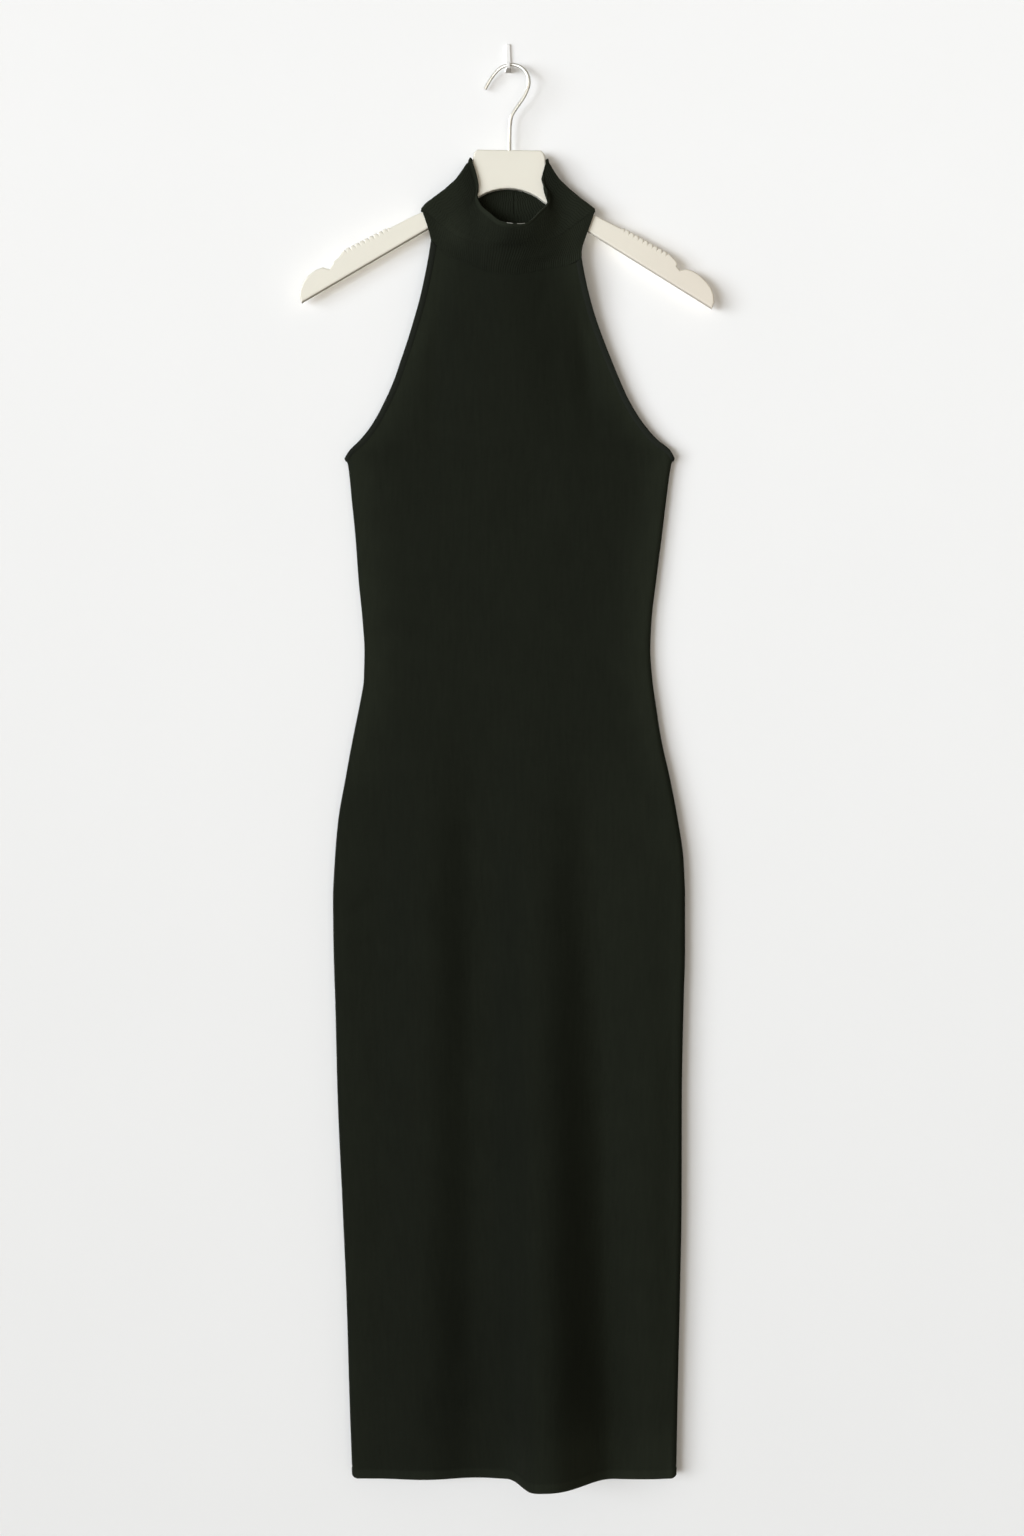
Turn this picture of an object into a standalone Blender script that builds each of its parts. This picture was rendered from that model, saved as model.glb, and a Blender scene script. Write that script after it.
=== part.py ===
"""Sleeveless knitted dress with a high ribbed collar, on a flat hanger that hangs from a wall hook.

Sizes are in millimetres until place() turns them into metres. A point is given by three numbers:
across, to the right as seen from the front (+X); depth, out from the wall (-Y); and below, down
from the origin (-Z). The origin is on the wall hook's back face, in the plane of the wall.
The cloth is given by its outer surface, and its wall lies behind that.
"""

import math

import bmesh
import bpy
import numpy as np

MM = 0.001

# Cloth
WALL = 1.8
SEAM_GAP = 0.3
TRIM_WIDTH = 6.2
TRIM_WALL = 2.2
TRIM_PROUD = 0.4
RIB_HEIGHT = 0.35
RIM_ROLL = 0.6
FRONT_RIBS = 48
BACK_RIBS = 40

# Hanger and wall hook
BOARD_DEPTH = 14.0
BOARD_THICKNESS = 9.4
BOARD_EDGE = 1.6
BOARD_TOP = 95.0
BOARD_ACROSS = 0.2
BOARD_TILT = math.radians(0.85)
PLATE_ARCH_RADIUS = 55.0
PLATE_ARCH_TOP = 38.4
PLATE_ARCH_REACH = 36.2
WIRE_RADIUS = 1.6
WIRE_ACROSS = 0.7
WIRE_IN_BOARD = 12.0
WIRE_SWIVEL = math.radians(18.5)
WIRE_POINTS = 60
FREE_GAP = 0.3
CLOTH_GAP = 0.6
WALL_HOOK_WIDTH = 6.4
WALL_HOOK_TOP_WIDTH = 3.2
WALL_HOOK_LIP_SHARE = 0.5
WALL_HOOK_TOP = -16.2
WALL_HOOK_BOTTOM = 13.2
WALL_HOOK_ACROSS = -0.8
WALL_HOOK_EDGE = 0.4

# The collar folds over the hanger's arms between its two upper points and its two corners.
FOLD_HALF_DEPTH = BOARD_THICKNESS / 2 + CLOTH_GAP + WALL
FOLD_ROUNDING = 3.0
FOLD_SQUARENESS = 3.0
CORNER_SHARE = 0.62
COLLAR_LEVELS = (0.0, 0.05, 0.18, 0.33, 0.48, CORNER_SHARE, 0.635, 0.66, 0.76, 0.88, 1.0)
COLLAR_BULGE = 4.0
COLLAR_TROUGH = 3.5
COLLAR_TROUGH_WIDTH = 5.5

# The panels
SIDE_SEAM_DEPTH = 8.0
SIDE_ROUNDING = 6.0
SIDE_ANGLES = (0, 18, 47, 73)
UNDERARM_BELOW = 403.3
SIDE_TOP_BELOW = 409.2
HEM_BELOW = 1430.0
HEM_CORNER_RISE = 3.0
BACK_ARMHOLE_INSET = 3.0
SEAM_LOW = 221.9
SEAM_FADE_LENGTH = 140.0
FRONT_FACE_COLUMNS = 22
BACK_FACE_COLUMNS = 15
BACK_FOLD_SHARE = 0.8

PANEL_LEVELS = (
    SEAM_LOW, 236, 255, 280, 310, 340, 365, 383, 394, 402, SIDE_TOP_BELOW, 430, 465, 510, 560,
    600, 640, 690, 740, 790, 850, 920, 1000, 1080, 1160, 1240, 1310, 1370, 1410, HEM_BELOW,
)

# Side folds of the collar, from its upper points to its corners: across, below
COLLAR_FOLD_LEFT = (
    (-39.3, 103.0), (-42.7, 109.0), (-46.0, 114.3), (-53.3, 124.4),
    (-64.4, 134.4), (-77.5, 144.1), (-84.0, 149.0), (-88.0, 153.6),
)
COLLAR_FOLD_RIGHT = (
    (39.3, 104.4), (41.0, 109.3), (43.6, 114.3), (50.4, 124.4),
    (60.8, 134.4), (72.8, 144.3), (80.2, 149.2), (86.3, 154.0),
)

# Free edges of the collar below its corners, front and back: across, below
COLLAR_FREE_LEFT = ((-88.0, 153.6), (-84.5, 164.6), (-81.2, 174.6), (-78.3, 185.9))
COLLAR_FREE_RIGHT = (
    (86.3, 154.0), (83.6, 164.6), (80.0, 174.6), (76.4, 184.7), (73.4, 194.7), (72.9, 204.0),
)
COLLAR_FREE_BACK_LEFT = ((-88.0, 153.6), (-84.5, 162.0), (-80.5, 172.0), (-75.5, 187.0))
COLLAR_FREE_BACK_RIGHT = ((86.3, 154.0), (82.8, 163.0), (78.5, 174.0), (70.0, 200.0))

# Front rim of the collar, from its left point to its right one: across, below, depth
COLLAR_RIM = (
    (-39.3, 103.0, 21.1),
    (-33.5, 117.0, 21.5),
    (-30.8, 132.0, 22.5),
    (-32.3, 141.0, 24.0),
    (-28.0, 152.7, 29.0),
    (-18.9, 162.1, 36.0),
    (-8.9, 170.9, 42.0),
    (3.0, 174.0, 45.0),
    (18.9, 172.4, 42.0),
    (31.5, 160.1, 36.0),
    (40.0, 149.5, 30.0),
    (40.3, 140.7, 27.0),
    (36.3, 131.7, 24.5),
    (34.1, 121.1, 22.0),
    (39.3, 104.4, 21.1),
)
COLLAR_BACK_SAG = 5.0

# Hollow beside the collar's forward drape: across, below
COLLAR_TROUGH_LINE = (
    (37.0, 129.0), (42.0, 143.0), (45.0, 163.0), (39.0, 179.0),
    (34.0, 195.0), (21.0, 207.0), (-10.0, 210.0),
)

# Seams between the collar and the panels: across, below
SEAM_FRONT = (
    (-78.3, 185.9), (-63.2, 200.3), (-36.0, 213.2), (-19.0, 220.2), (3.0, 221.9),
    (21.0, 219.7), (38.9, 215.3), (61.2, 210.6), (72.9, 204.0),
)
SEAM_BACK = ((-75.5, 187.0), (-45.0, 205.0), (0.0, 214.0), (45.0, 210.0), (70.0, 200.0))

# Armhole edges of the front: below, left across, right across
ARMHOLE = (
    (185.9, -78.3, 72.9),
    (204.0, -81.1, 72.9),
    (225.7, -85.4, 77.0),
    (245.7, -90.1, 81.9),
    (265.8, -96.0, 88.1),
    (285.8, -102.2, 95.4),
    (305.9, -109.1, 103.4),
    (325.9, -116.0, 111.7),
    (346.0, -124.9, 121.0),
    (366.0, -135.5, 133.1),
    (376.0, -142.1, 140.8),
    (385.9, -150.4, 150.1),
    (395.9, -160.4, 162.2),
    (UNDERARM_BELOW, -165.5, 166.6),
)

# Side edges of the dress: below, left across, right across
SIDES = (
    (UNDERARM_BELOW, -165.5, 166.6),
    (SIDE_TOP_BELOW, -162.7, 163.9),
    (445.6, -158.7, 158.6),
    (486.0, -154.7, 153.7),
    (526.0, -151.8, 148.6),
    (567.0, -147.8, 143.8),
    (597.0, -145.9, 142.5),
    (627.0, -146.5, 144.6),
    (647.0, -149.7, 147.3),
    (688.0, -157.9, 153.7),
    (728.0, -165.2, 162.6),
    (768.0, -172.1, 170.1),
    (809.0, -175.6, 175.9),
    (849.0, -177.4, 177.4),
    (900.0, -176.8, 177.4),
    (950.0, -175.2, 176.0),
    (1051.0, -172.6, 174.1),
    (1152.0, -168.0, 173.9),
    (1252.0, -163.7, 172.1),
    (1353.0, -160.7, 169.8),
    (1432.0, -157.8, 168.4),
)

# Depth of the front's outer face: below, near its edges, on its middle line
FRONT_DEPTH = (
    (185.0, 21.1, 30.0),
    (222.0, 20.6, 30.0),
    (260.0, 18.5, 28.0),
    (300.0, 16.5, 25.0),
    (350.0, 14.5, 22.0),
    (400.0, 13.2, 20.0),
    (450.0, 12.8, 18.0),
    (520.0, 12.5, 16.5),
    (600.0, 12.5, 15.5),
    (700.0, 13.5, 16.0),
    (850.0, 15.0, 17.0),
    (1100.0, 15.0, 17.0),
    (1430.0, 15.0, 16.0),
)

# Depth of the back's outer face: below, depth
BACK_DEPTH = (
    (150.0, 6.9), (190.0, 6.9), (230.0, 5.8), (280.0, 4.0), (350.0, 2.6), (450.0, 2.2), (1430.0, 2.2),
)

# Lengthwise folds of the cloth. Heights are how far they stand out, and reaches how wide they spread.
FOLD_COLUMNS = (
    "top", "full", "end", "height_full", "height_end", "across_top", "across_end",
    "left_top", "left_end", "right_top", "right_end", "back_share",
)
FOLDS = (
    (640, 1430, 1430, 56.0, 56.0, 20, 32, 58, 41, 66, 74, BACK_FOLD_SHARE),
    (560, 900, 1430, 11.0, 3.0, -82, -80, 52, 50, 50, 46, 0.5),
    (700, 1150, 1430, 5.0, 3.0, 134, 136, 48, 46, 36, 32, 0.5),
    (225, 320, 410, -3.2, 0.0, -78, -86, 15, 18, 15, 18, 0.0),
    (225, 310, 365, -3.0, 0.0, 71, 78, 14, 16, 15, 18, 0.0),
)

# The hanger's outline: along from its middle, down from its top. The plate is the same on both sides.
HANGER_PLATE = (
    (32.2, 0.0), (35.2, 3.2), (36.4, 7.8), (36.9, 13.0), (40.5, 23.6), (47.3, 32.5), (56.3, 41.8),
    (66.4, 50.6), (78.5, 59.8),
)
# Each arm: its upper edge out to the teeth, then from the teeth round the strap notch, the tip and back
ARM_UPPER_LEFT = ((88.0, 64.4), (96.0, 67.8), (118.5, 80.0))
ARM_UPPER_RIGHT = ((87.0, 64.4), (94.5, 67.8), (101.5, 71.4), (114.0, 77.2))
ARM_OUTER_LEFT = (
    (170.0, 110.8), (175.1, 114.8), (176.3, 118.8), (178.6, 122.4), (182.2, 121.7), (185.7, 120.6),
    (192.2, 123.1), (199.9, 128.8), (205.1, 136.4), (208.0, 144.5), (208.6, 151.0), (206.5, 156.2),
    (82.2, 81.0),
)
ARM_OUTER_RIGHT = (
    (169.2, 108.5), (170.8, 111.4), (170.3, 114.8), (173.3, 118.3), (180.0, 116.9), (186.7, 118.9),
    (193.5, 123.0), (200.3, 129.6), (205.4, 136.2), (207.8, 142.9), (208.4, 150.4), (206.2, 156.0),
    (83.6, 82.4),
)
# A row of small raised teeth on each arm's upper edge, which keep straps from sliding: the first cut
# between teeth and the last one. The teeth stand up from the edge, and the cuts reach a little into it.
TEETH_LEFT = ((121.5, 81.6), (162.8, 103.4))
TEETH_RIGHT = ((117.8, 79.0), (160.4, 102.3))
TEETH_CUTS = 10
TEETH_DEPTH = 0.5
TEETH_HEIGHT = 1.5
TEETH_HALF_GAP = 1.0

# Middle line of the hook's wire above the plate: across, below
WIRE_LINE = (
    (0.7, 94.0), (0.9, 79.0), (1.3, 68.0), (2.5, 60.9), (6.0, 54.4), (10.6, 48.3), (14.6, 42.8),
    (18.1, 35.8), (20.1, 29.2), (19.6, 22.7), (17.1, 17.1), (13.1, 12.6), (8.1, 9.6), (2.5, 8.2),
    (-3.0, 8.8), (-8.1, 10.6), (-12.4, 13.9), (-16.9, 19.1), (-20.8, 24.9), (-24.2, 30.8),
)

# Side view of the wall hook, a bent strap: depth, below
WALL_HOOK_OUTLINE = (
    (0.0, WALL_HOOK_TOP), (1.6, WALL_HOOK_TOP), (2.2, WALL_HOOK_TOP + 1), (2.2, 9.6), (3.2, 10.7),
    (16.2, 10.7), (17.2, 9.7), (17.2, 7.6), (17.8, 6.6), (18.9, 6.6), (19.5, 7.6), (19.5, 11.2),
    (18.0, 12.8), (3.4, 12.8), (1.6, WALL_HOOK_BOTTOM), (0.0, WALL_HOOK_BOTTOM),
)

CLOTH_COLOUR = (0.0140, 0.0155, 0.0120)
COLLAR_COLOUR = (0.0150, 0.0165, 0.0130)
TRIM_COLOUR = (0.0165, 0.0180, 0.0145)
BOARD_COLOUR = (0.83, 0.80, 0.70)
WIRE_COLOUR = (0.62, 0.60, 0.55)
PAINT_COLOUR = (0.88, 0.88, 0.86)


def place(across, depth, below):
    """Blender's coordinates, in metres, of a point given in the garment's own terms."""
    return (across * MM, -depth * MM, -below * MM)


def curve_through(keys, values, at):
    """Smooth curve through rows of sizes that never overshoots them."""
    keys = np.asarray(keys, float)
    values = np.asarray(values, float)
    at = np.clip(np.asarray(at, float), keys[0], keys[-1])
    steps = np.diff(keys)
    slopes = np.diff(values) / steps
    both = slopes[:-1] * slopes[1:]
    total = np.where(both > 0, slopes[:-1] + slopes[1:], 1.0)
    inner = np.where(both > 0, 2 * both / total, 0.0)
    tangents = np.concatenate([slopes[:1], inner, slopes[-1:]])
    i = np.clip(np.searchsorted(keys, at, side="right") - 1, 0, len(keys) - 2)
    u = (at - keys[i]) / steps[i]
    return (
        values[i] * (1 + 2 * u) * (1 - u) ** 2
        + tangents[i] * steps[i] * u * (1 - u) ** 2
        + values[i + 1] * u**2 * (3 - 2 * u)
        + tangents[i + 1] * steps[i] * u**2 * (u - 1)
    )


def column(table, index, at):
    """One column of a table, read between its rows by the table's first column."""
    rows = np.array(table)
    return curve_through(rows[:, 0], rows[:, index], at)


def smooth_line(points, count):
    """Points evenly spread along a smooth line through the given ones."""
    points = np.array(points, float)
    lengths = np.linalg.norm(np.diff(points, axis=0), axis=1)
    knots = np.concatenate([[0], np.cumsum(lengths)])
    slopes = np.diff(points, axis=0) / lengths[:, None]
    share = (lengths[:-1] / (lengths[:-1] + lengths[1:]))[:, None]
    middle = slopes[:-1] * (1 - share) + slopes[1:] * share
    tangents = np.vstack([slopes[:1], middle, slopes[-1:]])
    at = np.linspace(0, knots[-1], 12 * len(points))
    i = np.clip(np.searchsorted(knots, at, side="right") - 1, 0, len(knots) - 2)
    u = ((at - knots[i]) / lengths[i])[:, None]
    step = lengths[i][:, None]
    fine = (
        points[i] * (1 + 2 * u) * (1 - u) ** 2
        + tangents[i] * step * u * (1 - u) ** 2
        + points[i + 1] * u**2 * (3 - 2 * u)
        + tangents[i + 1] * step * u**2 * (u - 1)
    )
    return evenly(fine, count)


def point_along(line, share):
    """The point at a share of a line's points."""
    at = np.linspace(0, 1, len(line))
    return np.array([np.interp(share, at, line[:, k]) for k in range(line.shape[1])])


def evenly(line, count):
    """The same line as count points, the same length of it between each two."""
    lengths = np.linalg.norm(np.diff(line, axis=0), axis=1)
    along = np.concatenate([[0], np.cumsum(lengths)])
    at = np.linspace(0, along[-1], count)
    return np.stack([np.interp(at, along, line[:, k]) for k in range(line.shape[1])], axis=1)


def distance_to_line(points, line):
    """How far each point, as across and below, is from a line of straight pieces."""
    line = np.array(line, float)
    nearest = np.full(len(points), np.inf)
    for start, end in zip(line[:-1], line[1:]):
        run = end - start
        share = np.clip((points - start) @ run / (run @ run), 0, 1)
        nearest = np.minimum(nearest, np.linalg.norm(points - start - share[:, None] * run, axis=1))
    return nearest


def rounding(distance, reach, squareness=2.0):
    """From 0 at an edge to 1 at reach from it, as a rounded edge rises."""
    inward = np.clip(1 - distance / reach, 0, 1)
    return (1 - inward**squareness) ** (1 / squareness)


def eased(share):
    share = np.clip(share, 0, 1)
    return share * share * (3 - 2 * share)


def edge_across(side, below):
    """Across of the dress's left (-1) or right (+1) edge at a height."""
    index = 1 if side < 0 else 2
    return np.where(
        below < UNDERARM_BELOW, column(ARMHOLE, index, below), column(SIDES, index, below)
    )


def fold_height(across, below, for_back):
    """How far the lengthwise folds bring the cloth forward at a point."""
    total = np.zeros_like(across)
    for values in FOLDS:
        fold = dict(zip(FOLD_COLUMNS, values))
        down = np.clip((below - fold["top"]) / (fold["end"] - fold["top"]), 0, 1)
        rise = eased((below - fold["top"]) / (fold["full"] - fold["top"]))
        if fold["full"] == fold["end"]:
            rise = down**1.3
            ease_out = 0
        else:
            ease_out = eased((below - fold["full"]) / (fold["end"] - fold["full"]))
        height = rise * (fold["height_full"] + (fold["height_end"] - fold["height_full"]) * ease_out)
        ridge = fold["across_top"] + (fold["across_end"] - fold["across_top"]) * down
        left = fold["left_top"] + (fold["left_end"] - fold["left_top"]) * down
        right = fold["right_top"] + (fold["right_end"] - fold["right_top"]) * down
        away = np.where(across < ridge, (ridge - across) / left, (across - ridge) / right)
        share = fold["back_share"] if for_back else 1
        total = total + share * height * 0.5 * (1 + np.cos(math.pi * np.clip(away, 0, 1)))
    return total


def side_rounding(across, below):
    """0 on the side seams, and 1 where the cloth lies flat beside them."""
    low = np.maximum(below, UNDERARM_BELOW)
    left = across - column(SIDES, 1, low)
    right = column(SIDES, 2, low) - across
    return rounding(np.minimum(left, right), SIDE_ROUNDING)


def front_depth(across, below):
    """Depth of the front's outer surface."""
    left = edge_across(-1, below)
    right = edge_across(1, below)
    share = np.clip((2 * across - left - right) / (right - left), -1, 1)
    edge = column(FRONT_DEPTH, 1, below)
    middle = column(FRONT_DEPTH, 2, below)
    face = edge + (middle - edge) * np.cos(math.pi / 2 * share) ** 2
    face = face + fold_height(across, below, False)
    return SIDE_SEAM_DEPTH + (face - SIDE_SEAM_DEPTH) * side_rounding(across, below)


def back_depth(across, below):
    """Depth of the back's outer surface, the one towards the wall."""
    face = column(BACK_DEPTH, 1, below) + fold_height(across, below, True)
    return SIDE_SEAM_DEPTH + (face - SIDE_SEAM_DEPTH) * side_rounding(across, below)


def armhole_line(side, for_back, inset):
    """An armhole's edge from the collar to the underarm, moved into the cloth by inset: across, below."""
    rows = np.array(ARMHOLE)
    below = rows[:, 0]
    across = rows[:, 1] if side < 0 else rows[:, 2]
    if side > 0:
        below, across = below[1:], across[1:]
    line = smooth_line(np.stack([across, below], axis=1), 160)
    down = np.linspace(0, 1, len(line))
    towards_end = eased((down - 0.86) / 0.14)
    tangent = np.gradient(line, axis=0)
    tangent = tangent / np.linalg.norm(tangent, axis=1)[:, None]
    inward = np.stack([-side * np.abs(tangent[:, 1]), np.abs(tangent[:, 0])], axis=1)
    end_direction = np.array([-side * 0.45, 0.9])
    inward = inward * (1 - towards_end)[:, None] + end_direction * towards_end[:, None]
    inward = inward / np.linalg.norm(inward, axis=1)[:, None]
    line = line + inset * inward * (1 - 0.2 * towards_end)[:, None]
    if for_back:
        line[:, 0] -= side * BACK_ARMHOLE_INSET * (1 - towards_end)
    return line


def seam_below(across, for_back):
    return column(SEAM_BACK if for_back else SEAM_FRONT, 1, across)


def panel_row_below(across, level, for_back):
    """The height of one row of a panel. The first row follows the collar's seam, and lower ones are level."""
    fade = np.clip(1 - (level - SEAM_LOW) / SEAM_FADE_LENGTH, 0, 1) ** 1.3
    lift = seam_below(across, for_back) - SEAM_LOW
    return level + lift * fade + 1.8 * SEAM_GAP * (level == SEAM_LOW)


def row_crossing(line, level, for_back):
    """Where a line that runs down an armhole meets one row of a panel, as a share of the line's points."""
    short = line[:, 1] - panel_row_below(line[:, 0], level, for_back)
    return float(np.interp(0, short, np.linspace(0, 1, len(line))))


def row_end(side, level, for_back):
    """Across of a panel's edge where one of its rows meets it."""
    if level >= SIDE_TOP_BELOW:
        return float(edge_across(side, level))
    edge = armhole_line(side, for_back, TRIM_WIDTH + 1.2 * SEAM_GAP)
    return float(point_along(edge, row_crossing(edge, level, for_back))[0])


def panel_row(level, for_back, face_columns):
    """One row of a panel, from its left edge round on to its face and round to its right edge."""
    left = row_end(-1, level, for_back)
    right = row_end(1, level, for_back)
    below_underarm = level >= SIDE_TOP_BELOW
    if below_underarm:
        turn = SIDE_ROUNDING * (1 - np.cos(np.radians(SIDE_ANGLES)))
    else:
        turn = np.linspace(0, SIDE_ROUNDING, len(SIDE_ANGLES) + 1)[:-1]
    depth_of = back_depth if for_back else front_depth
    face = np.linspace(left + SIDE_ROUNDING, right - SIDE_ROUNDING, 240)
    below = panel_row_below(face, level, for_back)
    face = evenly(np.stack([face, depth_of(face, below), below], axis=1), face_columns)
    across = np.concatenate([left + turn, face[:, 0], (right - turn)[::-1]])
    below = panel_row_below(across, level, for_back)
    depth = depth_of(across, below)
    if below_underarm:
        # The cloth meets the side seam square to it, so that the walls' edges face each other.
        across[[1, -2]] = left, right
        apart = SEAM_GAP * (4 if level == SIDE_TOP_BELOW else 0.5)
        depth[[0, -1]] = SIDE_SEAM_DEPTH + (-apart if for_back else apart)
    if level == HEM_BELOW:
        inward = np.minimum(across - left, right - across) / SIDE_ROUNDING
        below = below - HEM_CORNER_RISE * np.clip(1 - inward, 0, 1) ** 2
    return np.stack([across, depth, below], axis=1)


def panel_grid(for_back):
    columns = BACK_FACE_COLUMNS if for_back else FRONT_FACE_COLUMNS
    return np.array([panel_row(level, for_back, columns) for level in PANEL_LEVELS])


def trim_grid(side):
    """The band round one armhole: down the front edge, round the underarm and up the back edge.

    Its stations are at the rows of the panel that it is sewn to, and halfway between them.
    """
    levels = [level for level in PANEL_LEVELS if level < SIDE_TOP_BELOW]
    halves = []
    for for_back in (False, True):
        depth_of = back_depth if for_back else front_depth
        proud = -TRIM_PROUD if for_back else TRIM_PROUD
        seam_side = armhole_line(side, for_back, TRIM_WIDTH - SEAM_GAP / 2)
        rows = [row_crossing(seam_side, level, for_back) for level in levels] + [1.0]
        lines = []
        for inset in (0.0, TRIM_WIDTH / 2, TRIM_WIDTH - SEAM_GAP / 2):
            line = armhole_line(side, for_back, inset)
            shares = [row_crossing(line, SEAM_LOW, for_back), *rows[1:]]
            part = [point_along(line, shares[0])]
            for upper, lower in zip(shares[:-1], shares[1:]):
                ends = point_along(line, upper), point_along(line, lower)
                on_chord = inset > TRIM_WIDTH / 2
                between = sum(ends) / 2 if on_chord else point_along(line, (upper + lower) / 2)
                part += [between, ends[1]]
            part = np.array(part)
            away = rounding(np.abs(part[:, 0] - part[-1, 0]), SIDE_ROUNDING)
            depth = depth_of(part[:, 0], part[:, 1]) + proud * away
            depth[-1] = SIDE_SEAM_DEPTH
            if inset > TRIM_WIDTH / 2:
                depth[1::2] = (depth[:-1:2] + depth[2::2]) / 2
            lines.append(np.stack([part[:, 0], depth, part[:, 1]], axis=1))
        halves.append(np.stack(lines, axis=1))
    return np.concatenate([halves[0], halves[1][-2::-1]])


def stretch(line, share):
    """The point that lies a share of the way along a line."""
    fine = smooth_line(line, 200)
    return fine[int(round(share * 199))]


def collar_side(side, for_back, level):
    """Where one level of the collar meets its side: on the fold down to the corner, on a free edge below it."""
    fold = COLLAR_FOLD_LEFT if side < 0 else COLLAR_FOLD_RIGHT
    if for_back:
        free = COLLAR_FREE_BACK_LEFT if side < 0 else COLLAR_FREE_BACK_RIGHT
    else:
        free = COLLAR_FREE_LEFT if side < 0 else COLLAR_FREE_RIGHT
    if level <= CORNER_SHARE:
        return stretch(fold, level / CORNER_SHARE)
    return stretch(free, (level - CORNER_SHARE) / (1 - CORNER_SHARE))


def collar_ends(for_back):
    """The collar's rim and its seam, with the depth that each adds to the fold's: across, below, more depth."""
    count = 200
    if for_back:
        rim = np.array([COLLAR_FOLD_LEFT[0], COLLAR_FOLD_RIGHT[0]], float)
        share = np.linspace(0, 1, count)[:, None]
        rim = rim[0] * (1 - share) + rim[1] * share
        rim[:, 1] += COLLAR_BACK_SAG * np.sin(math.pi * share[:, 0])
        rim = np.column_stack([rim, np.zeros(count)])
    else:
        rim = smooth_line(COLLAR_RIM, count)
        rim[:, 2] -= BOARD_DEPTH + FOLD_HALF_DEPTH
    seam_table = SEAM_BACK if for_back else SEAM_FRONT
    across = np.linspace(seam_table[0][0], seam_table[-1][0], count)
    below = seam_below(across, for_back)
    if for_back:
        more = BOARD_DEPTH - FOLD_HALF_DEPTH - back_depth(across, below)
    else:
        more = front_depth(across, below) - BOARD_DEPTH - FOLD_HALF_DEPTH
    seam = evenly(np.stack([across, below, more], axis=1), count)
    return rim, seam


def collar_row(level, for_back, columns):
    """One level of half of the collar, blended between its rim, its seam and its two sides."""
    rim, seam = collar_ends(for_back)
    share = np.linspace(0, 1, len(rim))[:, None]
    left = collar_side(-1, for_back, level)
    right = collar_side(1, for_back, level)
    corners = (
        (1 - share) * ((1 - level) * rim[0, :2] + level * seam[0, :2])
        + share * ((1 - level) * rim[-1, :2] + level * seam[-1, :2])
    )
    flat = (1 - level) * rim[:, :2] + level * seam[:, :2] + (1 - share) * left + share * right - corners
    flat[0] = left
    flat[-1] = right
    more = (1 - level) * rim[:, 2] + level * seam[:, 2]
    if not for_back:
        more = more + COLLAR_BULGE * math.sin(math.pi * level) * np.sin(math.pi * share[:, 0]) ** 3
        trough = distance_to_line(flat, COLLAR_TROUGH_LINE) / COLLAR_TROUGH_WIDTH
        more = more - COLLAR_TROUGH * math.sin(math.pi * min(1, 1.15 * level + 0.1)) * np.exp(-(trough**2))
    from_fold = np.minimum(
        distance_to_line(flat, COLLAR_FOLD_LEFT), distance_to_line(flat, COLLAR_FOLD_RIGHT)
    )
    raised = rounding(from_fold, FOLD_ROUNDING, FOLD_SQUARENESS)
    out = raised * (FOLD_HALF_DEPTH + np.maximum(more, 0) * raised)
    depth = BOARD_DEPTH - out if for_back else BOARD_DEPTH + out
    below = flat[:, 1] - (SEAM_GAP / 4 if level == 1 else 0)
    return evenly(np.stack([flat[:, 0], depth, below], axis=1), columns + 1)


def collar_grids():
    front = np.array([collar_row(level, False, 2 * FRONT_RIBS) for level in COLLAR_LEVELS])
    back = np.array([collar_row(level, True, 2 * BACK_RIBS)[::-1] for level in COLLAR_LEVELS])
    split = COLLAR_LEVELS.index(CORNER_SHARE)
    for row in range(split + 1):
        back[row, 0] = front[row, -1]
        back[row, -1] = front[row, 0]
    return front, back, split


def material(name, colour, roughness, metallic=0.0):
    made = bpy.data.materials.new(name)
    made.use_nodes = True
    shader = made.node_tree.nodes["Principled BSDF"]
    shader.inputs["Base Color"].default_value = (*colour, 1.0)
    shader.inputs["Roughness"].default_value = roughness
    shader.inputs["Metallic"].default_value = metallic
    made.diffuse_color = (*colour, 1.0)
    return made


def new_object(name, mesh, look, collection):
    made = bpy.data.objects.new(name, mesh)
    mesh.materials.append(look)
    collection.objects.link(made)
    return made


def shell(name, grid, facing_wall, thickness, look, collection):
    """An open sheet of quads through the grid, given its wall by Solidify."""
    rows, columns = grid.shape[:2]
    form = bmesh.new()
    verts = [[form.verts.new(place(*point)) for point in row] for row in grid]
    for r in range(rows - 1):
        for c in range(columns - 1):
            corners = [verts[r][c], verts[r + 1][c], verts[r + 1][c + 1], verts[r][c + 1]]
            form.faces.new(corners[::-1] if facing_wall else corners)
    mesh = bpy.data.meshes.new(name)
    form.to_mesh(mesh)
    form.free()
    mesh.shade_smooth()
    made = new_object(name, mesh, look, collection)
    wall = made.modifiers.new("Wall", "SOLIDIFY")
    wall.thickness = thickness * MM
    wall.offset = -1
    wall.use_even_offset = True
    return made


def shared_points(grids):
    """The points of several grids, with one index for those that the grids share."""
    points, tables, known = [], [], {}
    for grid in grids:
        table = np.empty(grid.shape[:2], int)
        for place_in_grid in np.ndindex(*grid.shape[:2]):
            key = tuple(np.round(grid[place_in_grid], 4))
            if key not in known:
                known[key] = len(points)
                points.append(grid[place_in_grid])
            table[place_in_grid] = known[key]
        tables.append(table)
    return np.array(points), tables


def outward_normals(points, tables):
    """A normal for each point, the mean of those of the faces round it."""
    total = np.zeros_like(points)
    for table in tables:
        a, b, c, d = table[:-1, :-1], table[1:, :-1], table[1:, 1:], table[:-1, 1:]
        normal = np.cross(points[c] - points[a], points[b] - points[d])
        for corner in (a, b, c, d):
            np.add.at(total, corner, normal)
    return total / np.linalg.norm(total, axis=1)[:, None]


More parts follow.
